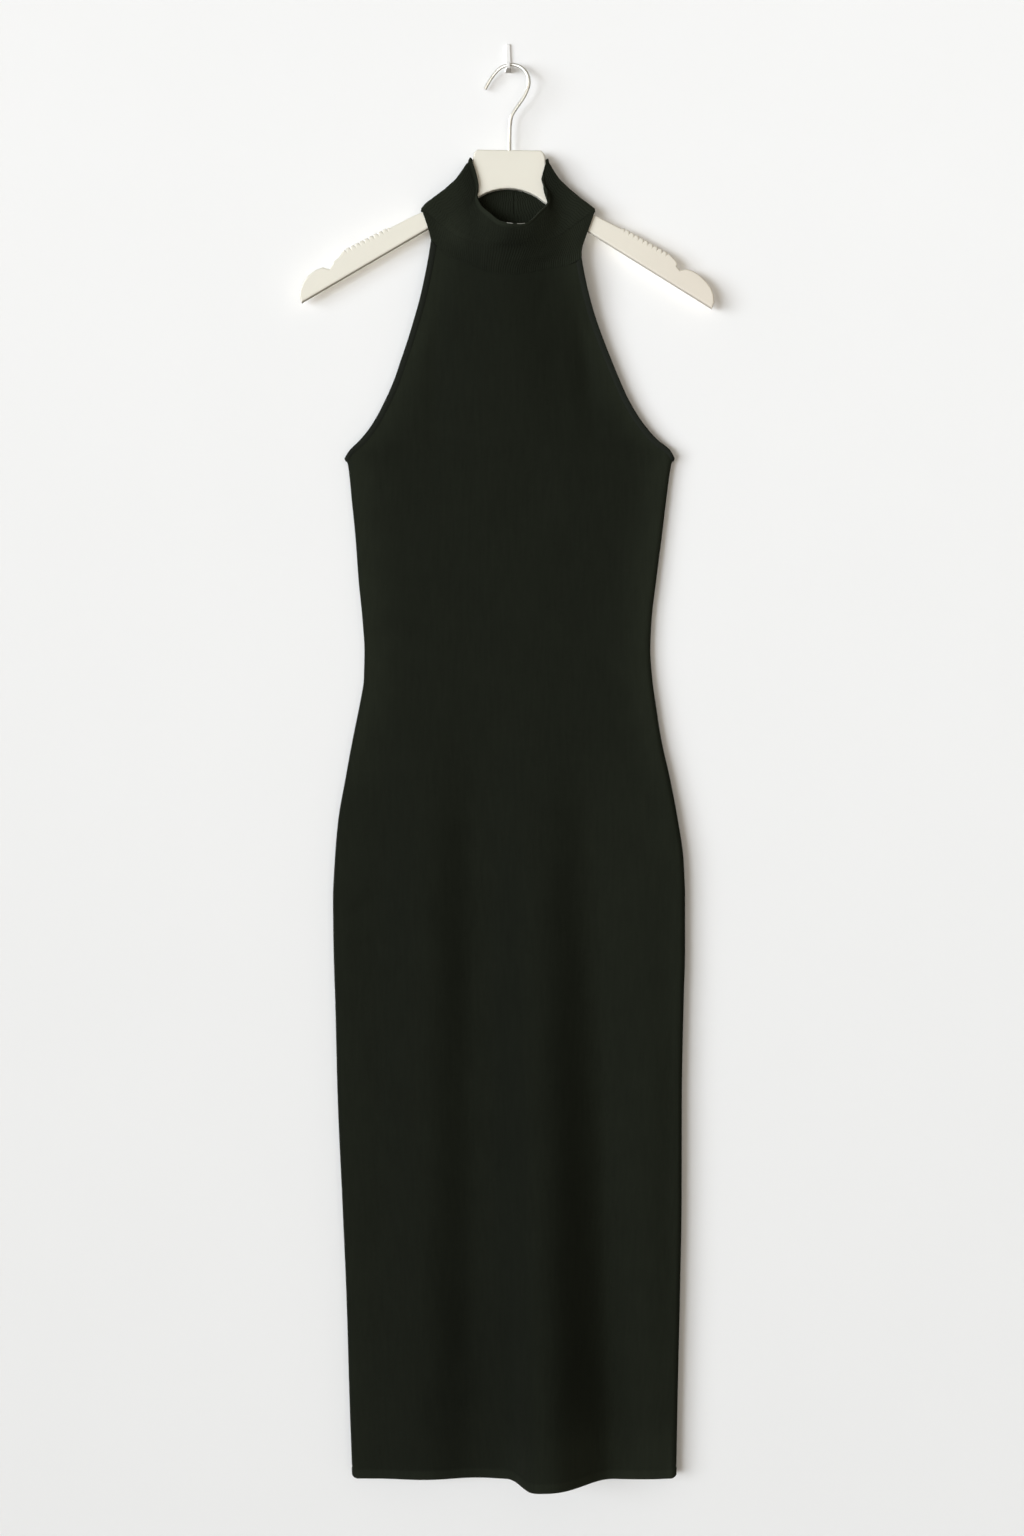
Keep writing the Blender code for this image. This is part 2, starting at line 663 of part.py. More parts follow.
def collar_solid(look, collection):
    """The collar's wall: ribs on its outer points, a plain inside with half as many columns."""
    front, back, split = collar_grids()
    points, tables = shared_points([front, back])
    normals = outward_normals(points, tables)
    if normals[tables[0][5, FRONT_RIBS]][1] < 0:
        normals = -normals
    ribs = np.zeros(len(points))
    for table in tables:
        ribs[table[2:, 1::2]] = RIB_HEIGHT
        ribs[table[:2]] = RIM_ROLL
    form = bmesh.new()
    outer = [form.verts.new(place(*point)) for point in points + ribs[:, None] * normals]
    inner = {}
    for index in np.unique(np.concatenate([table[:, ::2].ravel() for table in tables])):
        inner[index] = form.verts.new(place(*(points[index] - WALL * normals[index])))

    def edge_strip(row):
        """Closes the wall along one end of a sheet, two outer points to each inner one."""
        for c in range(0, len(row) - 1, 2):
            one, two, three = (outer[row[c + k]] for k in range(3))
            near, far = inner[row[c]], inner[row[c + 2]]
            form.faces.new((one, two, near))
            form.faces.new((two, three, far))
            form.faces.new((two, far, near))

    for table in tables:
        rows, columns = table.shape
        for r in range(rows - 1):
            for c in range(columns - 1):
                form.faces.new([outer[table[r + i, c + j]] for i, j in ((0, 0), (1, 0), (1, 1), (0, 1))])
            for c in range(0, columns - 1, 2):
                form.faces.new([inner[table[r + i, c + j]] for i, j in ((0, 0), (0, 2), (1, 2), (1, 0))])
        edge_strip(table[0])
        edge_strip(table[-1])
        for c in (0, columns - 1):
            for r in range(split, rows - 1):
                upper, lower = table[r, c], table[r + 1, c]
                form.faces.new((outer[upper], outer[lower], inner[lower], inner[upper]))
    bmesh.ops.recalc_face_normals(form, faces=form.faces)
    mesh = bpy.data.meshes.new("collar")
    form.to_mesh(mesh)
    form.free()
    return new_object("collar", mesh, look, collection)


def flat_curve(name, outline, half_thickness, edge):
    """A flat outline as a filled curve with thickness and rounded edges, in its own X and Y."""
    curve = bpy.data.curves.new(name, "CURVE")
    curve.dimensions = "2D"
    curve.fill_mode = "BOTH"
    curve.extrude = (half_thickness - edge) * MM
    curve.bevel_depth = edge * MM
    curve.bevel_resolution = 1
    curve.offset = -edge * MM
    spline = curve.splines.new("POLY")
    spline.points.add(len(outline) - 1)
    for point, (x, y) in zip(spline.points, outline):
        point.co = (x * MM, y * MM, 0, 1)
    spline.use_cyclic_u = True
    return bpy.data.objects.new(name, curve)


def mesh_from_curve(source, look, collection):
    """Turns a curve object into a closed mesh object of the same name and place."""
    bpy.context.scene.collection.objects.link(source)
    bpy.context.view_layer.update()
    evaluated = source.evaluated_get(bpy.context.evaluated_depsgraph_get())
    mesh = bpy.data.meshes.new_from_object(evaluated)
    form = bmesh.new()
    form.from_mesh(mesh)
    bmesh.ops.remove_doubles(form, verts=form.verts, dist=0.00001)
    bmesh.ops.recalc_face_normals(form, faces=form.faces)
    form.to_mesh(mesh)
    form.free()
    name, matrix = source.name, source.matrix_world.copy()
    bpy.data.objects.remove(source)
    mesh.materials.clear()
    made = new_object(name, mesh, look, collection)
    made.name = name
    made.matrix_world = matrix
    return made


def teeth(ends):
    """The row of small teeth on an arm's upper edge, from the first cut to the last one: along, down."""
    first, last = np.array(ends, float)
    run = (last - first) / np.linalg.norm(last - first)
    inward = np.array([-run[1], run[0]])
    points = []
    for share in np.linspace(0, 1, TEETH_CUTS):
        cut = first + share * (last - first)
        points += [
            cut - TEETH_HALF_GAP * run - TEETH_HEIGHT * inward,
            cut + TEETH_DEPTH * inward,
            cut + TEETH_HALF_GAP * run - TEETH_HEIGHT * inward,
        ]
    return points


def hanger_board(look, collection, cutters):
    """A flat board with a plate in its middle, sloping arms and a strap notch near each tip."""
    reach = PLATE_ARCH_REACH
    arch_centre = PLATE_ARCH_TOP + PLATE_ARCH_RADIUS
    arch = [
        (along, arch_centre - math.sqrt(PLATE_ARCH_RADIUS**2 - along**2))
        for along in np.linspace(reach, -reach, 11)
    ]
    left = [*HANGER_PLATE, *ARM_UPPER_LEFT, *teeth(TEETH_LEFT), *ARM_OUTER_LEFT]
    right = [*HANGER_PLATE, *ARM_UPPER_RIGHT, *teeth(TEETH_RIGHT), *ARM_OUTER_RIGHT]
    outline = [(along, -down) for along, down in right + arch]
    outline += [(-along, -down) for along, down in left[::-1]]
    source = flat_curve("hanger_board", outline, BOARD_THICKNESS / 2, BOARD_EDGE)
    source.location = place(BOARD_ACROSS, BOARD_DEPTH, BOARD_TOP)
    source.rotation_euler = (math.pi / 2, BOARD_TILT, 0)
    board = mesh_from_curve(source, look, collection)
    bpy.ops.mesh.primitive_cylinder_add(
        vertices=16,
        radius=(WIRE_RADIUS + FREE_GAP) * MM,
        depth=2 * (WIRE_IN_BOARD + FREE_GAP) * MM,
        location=place(WIRE_ACROSS, BOARD_DEPTH, BOARD_TOP),
    )
    drill = bpy.context.object
    drill.name = "wire_hole_cutter"
    drill.hide_render = True
    drill.display_type = "WIRE"
    for owner in list(drill.users_collection):
        owner.objects.unlink(drill)
    cutters.objects.link(drill)
    hole = board.modifiers.new("Wire hole", "BOOLEAN")
    hole.object = drill
    hole.solver = "EXACT"
    return board


def hanger_hook(look, collection):
    """The hook's round wire, turned a little about its stem: its open end is nearer the wall."""
    above = smooth_line(WIRE_LINE, WIRE_POINTS)
    stem_end = (WIRE_ACROSS, BOARD_TOP + WIRE_IN_BOARD)
    line = np.vstack([stem_end, above])
    curve = bpy.data.curves.new("hanger_hook", "CURVE")
    curve.dimensions = "3D"
    curve.bevel_depth = WIRE_RADIUS * MM
    curve.bevel_resolution = 3
    curve.use_fill_caps = True
    spline = curve.splines.new("POLY")
    spline.points.add(len(line) - 1)
    for point, (across, below) in zip(spline.points, line):
        depth = BOARD_DEPTH + (across - WIRE_ACROSS) * math.tan(WIRE_SWIVEL)
        point.co = (*place(across, depth, below), 1)
    curve.materials.append(look)
    made = bpy.data.objects.new("hanger_hook", curve)
    collection.objects.link(made)
    return made


def wall_hook(look, collection):
    """A bent strap: a plate flat on the wall, an arm under the wire and a lip in front of it.

    The strap is narrower towards its top, and its arm is narrower towards the lip.
    """
    outline = [(depth, -below) for depth, below in WALL_HOOK_OUTLINE]
    source = flat_curve("wall_hook", outline, WALL_HOOK_WIDTH / 2, WALL_HOOK_EDGE)
    source.location = place(WALL_HOOK_ACROSS, 0, 0)
    source.rotation_euler = (math.pi / 2, 0, -math.pi / 2)
    hook = mesh_from_curve(source, look, collection)
    for point in hook.data.vertices:
        up = (point.co.y / MM + WALL_HOOK_BOTTOM) / (WALL_HOOK_BOTTOM - WALL_HOOK_TOP)
        out = point.co.x / MM / WALL_HOOK_OUTLINE[10][0]
        point.co.z *= 1 - up * (1 - WALL_HOOK_TOP_WIDTH / WALL_HOOK_WIDTH)
        point.co.z *= 1 - out * (1 - WALL_HOOK_LIP_SHARE)
    return hook


def build():
    for old in list(bpy.data.objects):
        bpy.data.objects.remove(old)
    parts = bpy.data.collections.new("sweater_dress_on_hanger")
    cutters = bpy.data.collections.new("cutters")
    cutters.hide_render = True
    for collection in (parts, cutters):
        bpy.context.scene.collection.children.link(collection)

    cloth = material("fine_knit", CLOTH_COLOUR, 0.85)
    rib = material("rib_knit", COLLAR_COLOUR, 0.85)
    band = material("edge_knit", TRIM_COLOUR, 0.85)
    shell("front_panel", panel_grid(False), False, WALL, cloth, parts)
    shell("back_panel", panel_grid(True), True, WALL, cloth, parts)
    collar_solid(rib, parts)
    shell("armhole_trim_left", trim_grid(-1), False, TRIM_WALL, band, parts)
    shell("armhole_trim_right", trim_grid(1), True, TRIM_WALL, band, parts)

    hanger_board(material("painted_board", BOARD_COLOUR, 0.55), parts, cutters)
    hanger_hook(material("hook_wire", WIRE_COLOUR, 0.3, 1.0), parts)
    wall_hook(material("white_paint", PAINT_COLOUR, 0.4), parts)


build()
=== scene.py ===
"""The looks of a sleeveless knitted dress on a flat hanger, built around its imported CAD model.

Garment sizes are in millimetres and say where a point is by across (+X), depth (out from the wall, -Y)
and below (down from the origin, -Z), as in the part's own source. placed() turns them into metres.
"""

import math
from collections import namedtuple

import bpy
import numpy as np
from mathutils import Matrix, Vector

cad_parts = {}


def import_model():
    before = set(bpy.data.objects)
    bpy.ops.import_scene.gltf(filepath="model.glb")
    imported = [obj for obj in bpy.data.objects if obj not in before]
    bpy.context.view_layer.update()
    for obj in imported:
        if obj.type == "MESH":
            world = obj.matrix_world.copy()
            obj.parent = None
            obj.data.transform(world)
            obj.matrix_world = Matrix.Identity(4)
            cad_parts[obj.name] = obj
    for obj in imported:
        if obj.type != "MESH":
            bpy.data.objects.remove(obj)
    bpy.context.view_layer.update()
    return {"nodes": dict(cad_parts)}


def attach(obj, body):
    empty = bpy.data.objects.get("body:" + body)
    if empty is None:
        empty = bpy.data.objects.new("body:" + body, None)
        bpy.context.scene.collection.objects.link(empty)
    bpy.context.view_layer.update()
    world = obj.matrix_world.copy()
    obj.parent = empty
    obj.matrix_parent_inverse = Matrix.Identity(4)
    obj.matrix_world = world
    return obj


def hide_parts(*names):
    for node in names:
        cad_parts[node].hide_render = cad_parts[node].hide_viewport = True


MM = 0.001

# The photo is 1024 by 1536 pixels. PIXEL is the size of one of them in millimetres, at REFERENCE_DEPTH.
PHOTO_HEIGHT = 1536
PIXEL = 1.007
REFERENCE_DEPTH = 12.0
CAMERA_DISTANCE = 2650.0
CAMERA_ACROSS = 3.0
CAMERA_BELOW = 716.0
SENSOR = 36.0

# The room, in metres
WALL_BEHIND = 0.0006
ROOM_REACH = 5.0
ROOM_FLOOR = -2.3
ROOM_TOP = 3.5
ROOM_GLOW = 0.55

# Planes of the room: the corners of each, by left or right, front or back, floor or top (0 or 1)
ROOM_PLANES = {
    "floor": ("000", "100", "110", "010"),
    "room_left": ("000", "010", "011", "001"),
    "room_right": ("110", "100", "101", "111"),
    "room_front": ("100", "000", "001", "101"),
    "room_back": ("010", "110", "111", "011"),
    "ceiling": ("011", "111", "101", "001"),
}

# Lights: name, the way that it shines, strength, how many degrees wide it looks, colour
DAYLIGHT = (0.90, 0.945, 1.0)
LAMPLIGHT = (1.0, 0.91, 0.79)
LAMPLIGHT_STRENGTH = 0.22
LIGHTS = (
    ("key", (0.58, 1.0, 0.08), 1.32, 20.0, DAYLIGHT),
    ("from_the_left", (1.30, 1.0, -0.04), 1.66, 30.0, DAYLIGHT),
    ("from_the_front", (-0.05, 1.0, 0.2), 0.62, 50.0, LAMPLIGHT),
    ("from_behind", (0.5, -1.0, -0.15), 3.2, 30.0, (1.0, 0.98, 0.96)),
)

# Cloth, with the flat width and length of each sheet in metres
WALL = 1.7
COLLAR_WALL = 1.9
TRIM_WALL = 2.0
TRIM_WIDTH = 6.2
TRIM_TUCK = 1.6
RIB_PITCH = 2.9
RIB_HEIGHT = 0.62
RIB_INSIDE_SHARE = 1.4

# Relief of the cloth. A ramp is where it starts and its length, a bell its middle, its reach and its height.
# Those of the hem go by the distance to it, and those of the collar by the distance to its rim or seam.
HEM_BAND_RAMP = (10.5, -1.5)
HEM_BAND_HEIGHT = 0.35
HEM_EDGE_RAMP = (1.6, -1.6)
HEM_EDGE_DROP = 0.5
HEM_GROOVE = (10.6, 1.1, -0.22)
PANEL_SEAM_GROOVE = (0.0, 1.6, -0.05)
COLLAR_SEAM_GROOVE = (0.0, 1.5, -0.05)
RIBS_RAMP = (5.5, 2.5)
RIM_ROLL_LENGTH = 5.0
RIM_ROLL_HEIGHT = 0.75
RIM_ROLL_INSIDE_SHARE = 0.5
RIM_GROOVE = (5.6, 0.9, -0.35)
BACK_SEAM_RIDGES = (1.7, 0.8, 0.45)
BACK_SEAM_GROOVE = (0.0, 0.8, -0.9)
TRIM_CROWN_SHARE = 0.86
TRIM_CROWN_HEIGHT = 0.6
TRIM_HEIGHT = 0.35
TRIM_INNER_EDGE_HEIGHT = 0.15
TRIM_INSIDE_SHARE = 0.3

# The collar, which folds over the hanger's arms between its two upper points and its two corners
BOARD_DEPTH = 14.0
FOLD_HALF_DEPTH = 7.1
FOLD_ROUNDING = 3.0
FOLD_SQUARENESS = 3.0
CORNER_SHARE = 0.62
COLLAR_BULGE = 4.0
COLLAR_SOFTNESS = 1.6
BACK_SEAM_ACROSS = 5.5

# Painted glints, pale highlights painted on the front of the collar's rim: left end, right end
GLINT_SPANS = ((-2.0, 4.0), (8.0, 15.5))
GLINT_WIDTH = 0.9
GLINT_LEAST_DEPTH = 35.0

# The panels
SIDE_SEAM_DEPTH = 8.0
SIDE_SEAM_FORWARD = 3.0
SIDE_SEAM_FORWARD_RAMP = (620, 220)
SIDE_ROUNDING = 6.0
UNDERARM_BELOW = 403.3
SIDE_TOP_BELOW = 409.2
SIDE_TOP_REACH = 2.0
HEM_BELOW = 1430.0
HEM_CORNER_RISE = 3.0
HEM_CORNER_REACH = 12.0
BACK_ARMHOLE_INSET = 3.0
ARMHOLE_END_RAMP = (0.86, 0.14)
ARMHOLE_END_DIRECTION = (0.45, 0.9)
ARMHOLE_END_NARROWER = 0.2
SEAM_LOW = 221.9
SEAM_FADE_LENGTH = 140.0
SEAM_FADE_POWER = 1.3
BACK_FOLD_SHARE = 0.8

# Painted light and shade by lean: how much lighter the cloth is painted as it turns to the left, to the right
# and down, and the largest lean that counts
PANEL_LEAN_SHADING = (-0.45, 0.0, -0.20)
COLLAR_LEAN_SHADING = (0.45, 1.0, -0.20)
TRIM_LEAN_SHADING = (0.25, 0.25, 0.0)
LEAN_SHADING_LIMIT = 0.5

# Painted light and shade of the cloth, paler and darker places, and a band paler towards the hem, with the
# ramps, bells and patches that say where they are. A patch is its middle's across and below, its reach across
# and its reach down.
# Painted light along the panels' left and right edges, less of it lower down
EDGE_PAINTED_LIGHT = 0.56
EDGE_PAINTED_LIGHT_REACH = 26.0
EDGE_PAINTED_LIGHT_LOW = 0.15
EDGE_LOW_RAMP = (640, 140)
HEM_PALE = 0.34
HEM_PALE_RAMP = (10.5, -3.0)
# Painted shade: the cloth darker downwards, as the light falls off
PAINTED_SHADE_DOWNWARDS = 0.08
DOWN_RAMP = (500, 700)
# Painted light on the skirt's right, on the hem's right and on the main fold's right near the hem
RIGHT_PAINTED_LIGHT = 0.14
RIGHT_RAMP = (45, 40)
RIGHT_BELOW_RAMP = (640, 150)
HEM_RIGHT_PAINTED_LIGHT = 0.24
HEM_RIGHT_RAMP = (-20, 25)
HEM_RIGHT_UP_RAMP = (70, -60)
HEM_FLANK_PAINTED_LIGHT = (70, 20, 0.45)
HEM_FLANK_UP_RAMP = (95, -60)
# Painted shade low on the left of the skirt
LOW_LEFT_PAINTED_SHADE = 0.17
LOW_LEFT_SHADE_PATCH = (-52, 1325, 42, 95)
# Painted light on the collar's sides and painted shade in its middle
COLLAR_SIDE_PAINTED_LIGHT = 0.33
COLLAR_SIDE_RAMP = (38, 26)
COLLAR_MIDDLE = 4.0
# Painted light on the collar near its seam
COLLAR_SEAM_PAINTED_LIGHT = 0.10
COLLAR_MIDDLE_PAINTED_SHADE = -0.12
# Painted light on the collar's inner face
COLLAR_INSIDE_PAINTED_LIGHT = 1.22
# Painted shadow under the collar's forward drape
DRAPE_PAINTED_SHADOW = 0.12
DRAPE_SHADOW_PATCH = (15, 192, 26, 13)
# Painted highlight along the collar's rolled front rim
RIM_PAINTED_HIGHLIGHT = 0.30
RIM_HIGHLIGHT_RAMP = (5.5, -2.0)
SEAM_BLEND_LENGTH = 34.0

# Colours, in linear light
KNIT_COLOUR = (0.0094, 0.0112, 0.0072)
RIB_COLOUR = (0.0106, 0.0126, 0.0082)
BAND_COLOUR = (0.0140, 0.0160, 0.0122)
SHEEN_COLOUR = (0.92, 1.0, 0.80)
# Colour of the painted glints on the collar's rim
GLINT_COLOUR = (0.24, 0.24, 0.215)
BOARD_COLOUR = (0.822, 0.797, 0.697)
BOARD_RIGHT_END_COLOUR = (0.770, 0.713, 0.612)
WIRE_COLOUR = (0.83, 0.82, 0.75)
HOOK_COLOUR = (0.86, 0.86, 0.85)
WALL_COLOUR = (0.906, 0.911, 0.910)
ROOM_COLOUR = (0.30, 0.30, 0.295)
ROOM_GLOW_COLOUR = (1.0, 0.99, 0.97, 1.0)

# Patterns: most of a noise's numbers lie in its range. Places and heights are in metres.
NOISE_RANGE = (0.3, 0.7)
STITCH_SLANT = 1.3
STITCH_COLUMN_SHARE = 0.7
STITCH_LOOP_SHARE = 0.3
STITCH_SHADE = 0.10
STREAK_SCALE = (260.0, 28.0, 1.0)
SCRATCH_SCALE = (900.0, 900.0, 60.0)
EDGE_DARKENING_RANGE = (0.50, 0.58)
RIGHT_END_ACROSS = (0.02, 0.20)
# Painted shade on the wall: the heights between which it darkens, and its share of brightness at the lower
WALL_FALLOFF_HEIGHTS = (-1.5, -0.1)
WALL_LOW_PAINTED_SHADE = 0.885

# How finely the cloth is drawn
FINE_POINTS = 400
ARMHOLE_POINTS = 320
TROUGH_POINTS = 60
PANEL_ROW_STEP = 5.0
PANEL_FIRST_ROW = 1.5
PANEL_LAST_ROWS = (11.0, 9.5, 2.0, 0.0)
PANEL_FACE_COLUMNS = 92
SIDE_TURN_STEPS = 8
COLLAR_ROWS = 64
COLLAR_END_LEVELS = (0.006, 0.975, 0.988, 0.996)
COLLAR_CORNER_LEVELS = (-0.006, 0.0, 0.006, 0.014)
COLLAR_CORNER_CLEAR = 0.016
POINTS_PER_RIB = 4
TRIM_STATIONS = 110
TRIM_COLUMNS = 9

# Left (-1) and right (1) side folds of the collar, from its upper points to its corners: across, below
COLLAR_FOLDS = {
    -1: (
        (-38.8, 102.6), (-42.7, 109.0), (-46.0, 114.3), (-53.3, 124.4),
        (-64.4, 134.4), (-77.5, 144.2), (-84.1, 149.3), (-88.2, 154.2),
    ),
    1: (
        (38.8, 103.6), (41.0, 109.3), (43.6, 114.3), (50.4, 124.4),
        (60.8, 134.4), (72.8, 144.3), (80.2, 149.6), (86.4, 154.6),
    ),
}

# Free edges of the collar below its corners, by side and by whether they are the back's: across, below
COLLAR_FREE = {
    (-1, False): ((-88.2, 154.2), (-84.5, 164.6), (-81.2, 174.6), (-78.3, 185.9)),
    (1, False): (
        (86.4, 154.6), (83.6, 164.6), (80.0, 174.6), (76.4, 184.7), (73.4, 194.7), (72.9, 204.0),
    ),
    (-1, True): ((-88.2, 154.2), (-84.5, 162.4), (-80.5, 172.0), (-75.5, 187.0)),
    (1, True): ((86.4, 154.6), (82.8, 163.4), (78.5, 174.0), (70.0, 200.0)),
}

# Front rim of the collar, from its left point to its right one: across, below, depth
COLLAR_RIM = (
    (-38.8, 102.6, 21.1), (-33.5, 117.0, 21.5), (-30.8, 132.0, 22.5), (-32.3, 141.0, 24.0),
    (-28.0, 152.7, 29.0), (-18.9, 162.1, 36.0), (-8.9, 170.9, 42.0), (3.0, 174.0, 45.0),
    (18.9, 172.4, 42.0), (31.5, 160.1, 36.0), (40.0, 149.5, 30.0), (40.3, 140.7, 27.0),
    (36.3, 131.7, 24.5), (34.1, 121.1, 22.0), (38.8, 103.6, 21.1),
)
COLLAR_BACK_SAG = 5.0

# Hollow beside the collar's forward drape: across, below, width, depth, and how it comes with the level
TROUGH_LEVEL_START = 0.1
TROUGH_LEVEL_SHARE = 1.15
COLLAR_TROUGH_LINE = (
    (50.0, 128.0, 6.0, 0.5), (58.0, 146.0, 8.0, 2.2), (56.0, 160.0, 9.0, 3.2),
    (48.0, 180.0, 12.0, 3.6), (35.0, 200.0, 15.0, 3.2), (15.0, 208.0, 18.0, 2.2),
    (-14.0, 212.0, 20.0, 0.0),
)

# Seams between the collar and the panels: across, below
SEAM_FRONT = (
    (-78.3, 185.9), (-63.2, 200.3), (-36.0, 213.2), (-19.0, 220.2), (3.0, 221.9),
    (21.0, 219.7), (38.9, 215.3), (61.2, 210.6), (72.9, 204.0),
)
SEAM_BACK = ((-75.5, 187.0), (-45.0, 205.0), (0.0, 214.0), (45.0, 210.0), (70.0, 200.0))

# Armhole edges of the front: below, left across, right across
ARMHOLE = (
    (185.9, -78.3, 72.9), (204.0, -81.1, 72.9), (225.7, -85.4, 77.0), (245.7, -90.1, 81.9),
    (265.8, -96.0, 88.1), (285.8, -102.2, 95.4), (305.9, -109.1, 103.4), (325.9, -116.0, 111.7),
    (346.0, -124.9, 121.0), (366.0, -135.5, 133.1), (376.0, -142.1, 140.8), (385.9, -150.4, 150.1),
    (395.9, -160.4, 162.2), (UNDERARM_BELOW, -165.5, 166.6),
)

# Side edges of the dress: below, left across, right across
SIDES = (
    (UNDERARM_BELOW, -165.5, 166.6), (SIDE_TOP_BELOW, -162.7, 163.9), (445.6, -158.7, 158.6),
    (486.0, -154.7, 153.7), (526.0, -151.8, 148.6), (567.0, -147.8, 143.8), (597.0, -145.9, 142.5),
    (627.0, -146.5, 144.6), (647.0, -149.7, 147.3), (688.0, -157.9, 153.7), (728.0, -165.2, 162.6),
    (768.0, -172.1, 170.1), (809.0, -175.6, 175.9), (849.0, -177.4, 177.4), (900.0, -176.8, 177.4),
    (950.0, -175.2, 176.0), (1051.0, -172.6, 174.1), (1152.0, -168.0, 173.9),
    (1252.0, -163.7, 172.1), (1353.0, -160.7, 169.8), (1432.0, -157.8, 168.4),
)

# Depth of the front's outer face: below, near its edges, on its middle line
FRONT_DEPTH = (
    (185.0, 21.1, 30.0), (222.0, 20.6, 30.0), (260.0, 16.0, 28.0), (300.0, 13.0, 25.0),
    (350.0, 12.0, 22.0), (400.0, 12.0, 20.0), (450.0, 12.2, 18.0), (520.0, 12.5, 16.5),
    (600.0, 13.0, 15.5), (700.0, 15.5, 17.0), (850.0, 18.5, 19.0), (1100.0, 18.5, 19.0),
    (1430.0, 18.0, 18.5),
)

# Depth of the back's outer face: below, depth
BACK_DEPTH = (
    (150.0, 6.9), (190.0, 6.9), (230.0, 5.8), (280.0, 4.0), (350.0, 2.6), (450.0, 2.2), (1430.0, 2.2),
)

# Lengthwise folds of the cloth. Heights are how far they stand out, and reaches how wide they spread.
Fold = namedtuple(
    "Fold",
    "top full end height_full height_end across_top across_end left_top left_end right_top right_end"
    " back_share",
)
FOLDS = (
    (640, 1430, 1430, 56.0, 56.0, 20, 32, 58, 41, 66, 74, BACK_FOLD_SHARE),
    (560, 900, 1430, 12.5, 5.5, -86, -84, 52, 50, 52, 50, 0.5),
    (700, 1150, 1430, 5.0, 3.0, 134, 136, 48, 46, 36, 32, 0.5),
    (600, 900, 1430, 5.0, 0.0, 26, 30, 44, 40, 52, 52, 0.0),
    (980, 1250, 1430, -5.0, -4.2, -34, -32, 62, 64, 30, 30, 0.0),
)

# Over 1 where the folds keep their height a little before they fall away to the right
FOLD_FALL = 1.2
# Over 1 where the main fold starts slowly at its top
FOLD_RISE = 1.3

# Small creases of the front, each a soft ridge (+) or trough (-) between two points, lower at its ends
CREASE_END_SHARE = 0.08
CREASE_END_POWER = 0.8
Crease = namedtuple("Crease", "from_across from_below to_across to_below width height")
CREASES = (
    (-72, 200, -74, 425, 12.0, -2.6), (80, 212, 82, 385, 11.0, -2.4), (60, 215, 58, 355, 13.0, 0.9),
    (-112, 1190, -80, 1360, 9.0, -0.8), (-168, 868, -140, 846, 4.0, -1.3),
    (-166, 862, -142, 841, 5.0, 0.9), (-172, 760, -166, 960, 8.0, 1.0),
    (-160, 900, -128, 893, 6.0, -0.5), (150, 560, 96, 604, 12.0, -0.7),
    (-150, 566, -104, 612, 12.0, -0.6), (146, 640, 112, 700, 14.0, 0.6),
    (-150, 440, -96, 470, 13.0, -0.6), (150, 436, 104, 462, 13.0, -0.5),
    (-60, 560, 60, 566, 16.0, -0.5), (-40, 612, 70, 604, 14.0, 0.4), (-30, 318, 24, 330, 18.0, 0.4),
    (160, 880, 128, 898, 9.0, -0.5), (-44, 232, -26, 262, 8.0, -0.5), (40, 228, 30, 256, 8.0, -0.5),
)

# Slow waves in the panels, which calm down near their edges: wavelengths, phase, height
CALM_REACH = 25.0
CALM_LEAST = 0.25
WAVE_PHASE_DOWN = 1.7
BACK_WAVE_SHIFT = 400.0
Wave = namedtuple("Wave", "across down phase height")
WAVES = (
    (97.0, 310.0, 0.4, 0.30),
    (61.0, 173.0, 2.1, 0.20),
    (139.0, 233.0, 4.0, 0.28),
    (41.0, 121.0, 5.2, 0.10),
)


def placed(points):
    """Blender's coordinates, in metres, of points given as across, depth and below."""
    points = np.asarray(points, float)
    return np.stack([points[..., 0], -points[..., 1], -points[..., 2]], axis=-1) * MM


def hermite(values, tangents, step, i, u):
    """Points of a smooth curve, at shares u of its pieces i, which are step long."""
    return (
        values[i] * (1 + 2 * u) * (1 - u) ** 2
        + tangents[i] * step * u * (1 - u) ** 2
        + values[i + 1] * u**2 * (3 - 2 * u)
        + tangents[i + 1] * step * u**2 * (u - 1)
    )


def curve_through(keys, values, at):
    """Smooth curve through rows of sizes that never overshoots them."""
    keys = np.asarray(keys, float)
    values = np.asarray(values, float)
    at = np.clip(np.asarray(at, float), keys[0], keys[-1])
    steps = np.diff(keys)
    slopes = np.diff(values) / steps
    both = slopes[:-1] * slopes[1:]
    total = np.where(both > 0, slopes[:-1] + slopes[1:], 1.0)
    inner = np.where(both > 0, 2 * both / total, 0.0)
    tangents = np.concatenate([slopes[:1], inner, slopes[-1:]])
    i = np.clip(np.searchsorted(keys, at, side="right") - 1, 0, len(keys) - 2)
    return hermite(values, tangents, steps[i], i, (at - keys[i]) / steps[i])


def column(table, index, at):
    """One column of a table, read between its rows by the table's first column."""
    rows = np.array(table)
    return curve_through(rows[:, 0], rows[:, index], at)


def travelled(points, axis=0):
    """How far each point is along its line, or along its column (axis 0) or row (axis 1) of a grid."""
    steps = np.linalg.norm(np.diff(points, axis=axis), axis=-1)
    before = [(0, 0)] * steps.ndim
    before[axis] = (1, 0)
    return np.pad(np.cumsum(steps, axis=axis), before)


def evenly(line, count):
    """The same line as count points, the same length of it between each two."""
    along = travelled(line)
    at = np.linspace(0, along[-1], count)
    return np.stack([np.interp(at, along, line[:, k]) for k in range(line.shape[1])], axis=1)


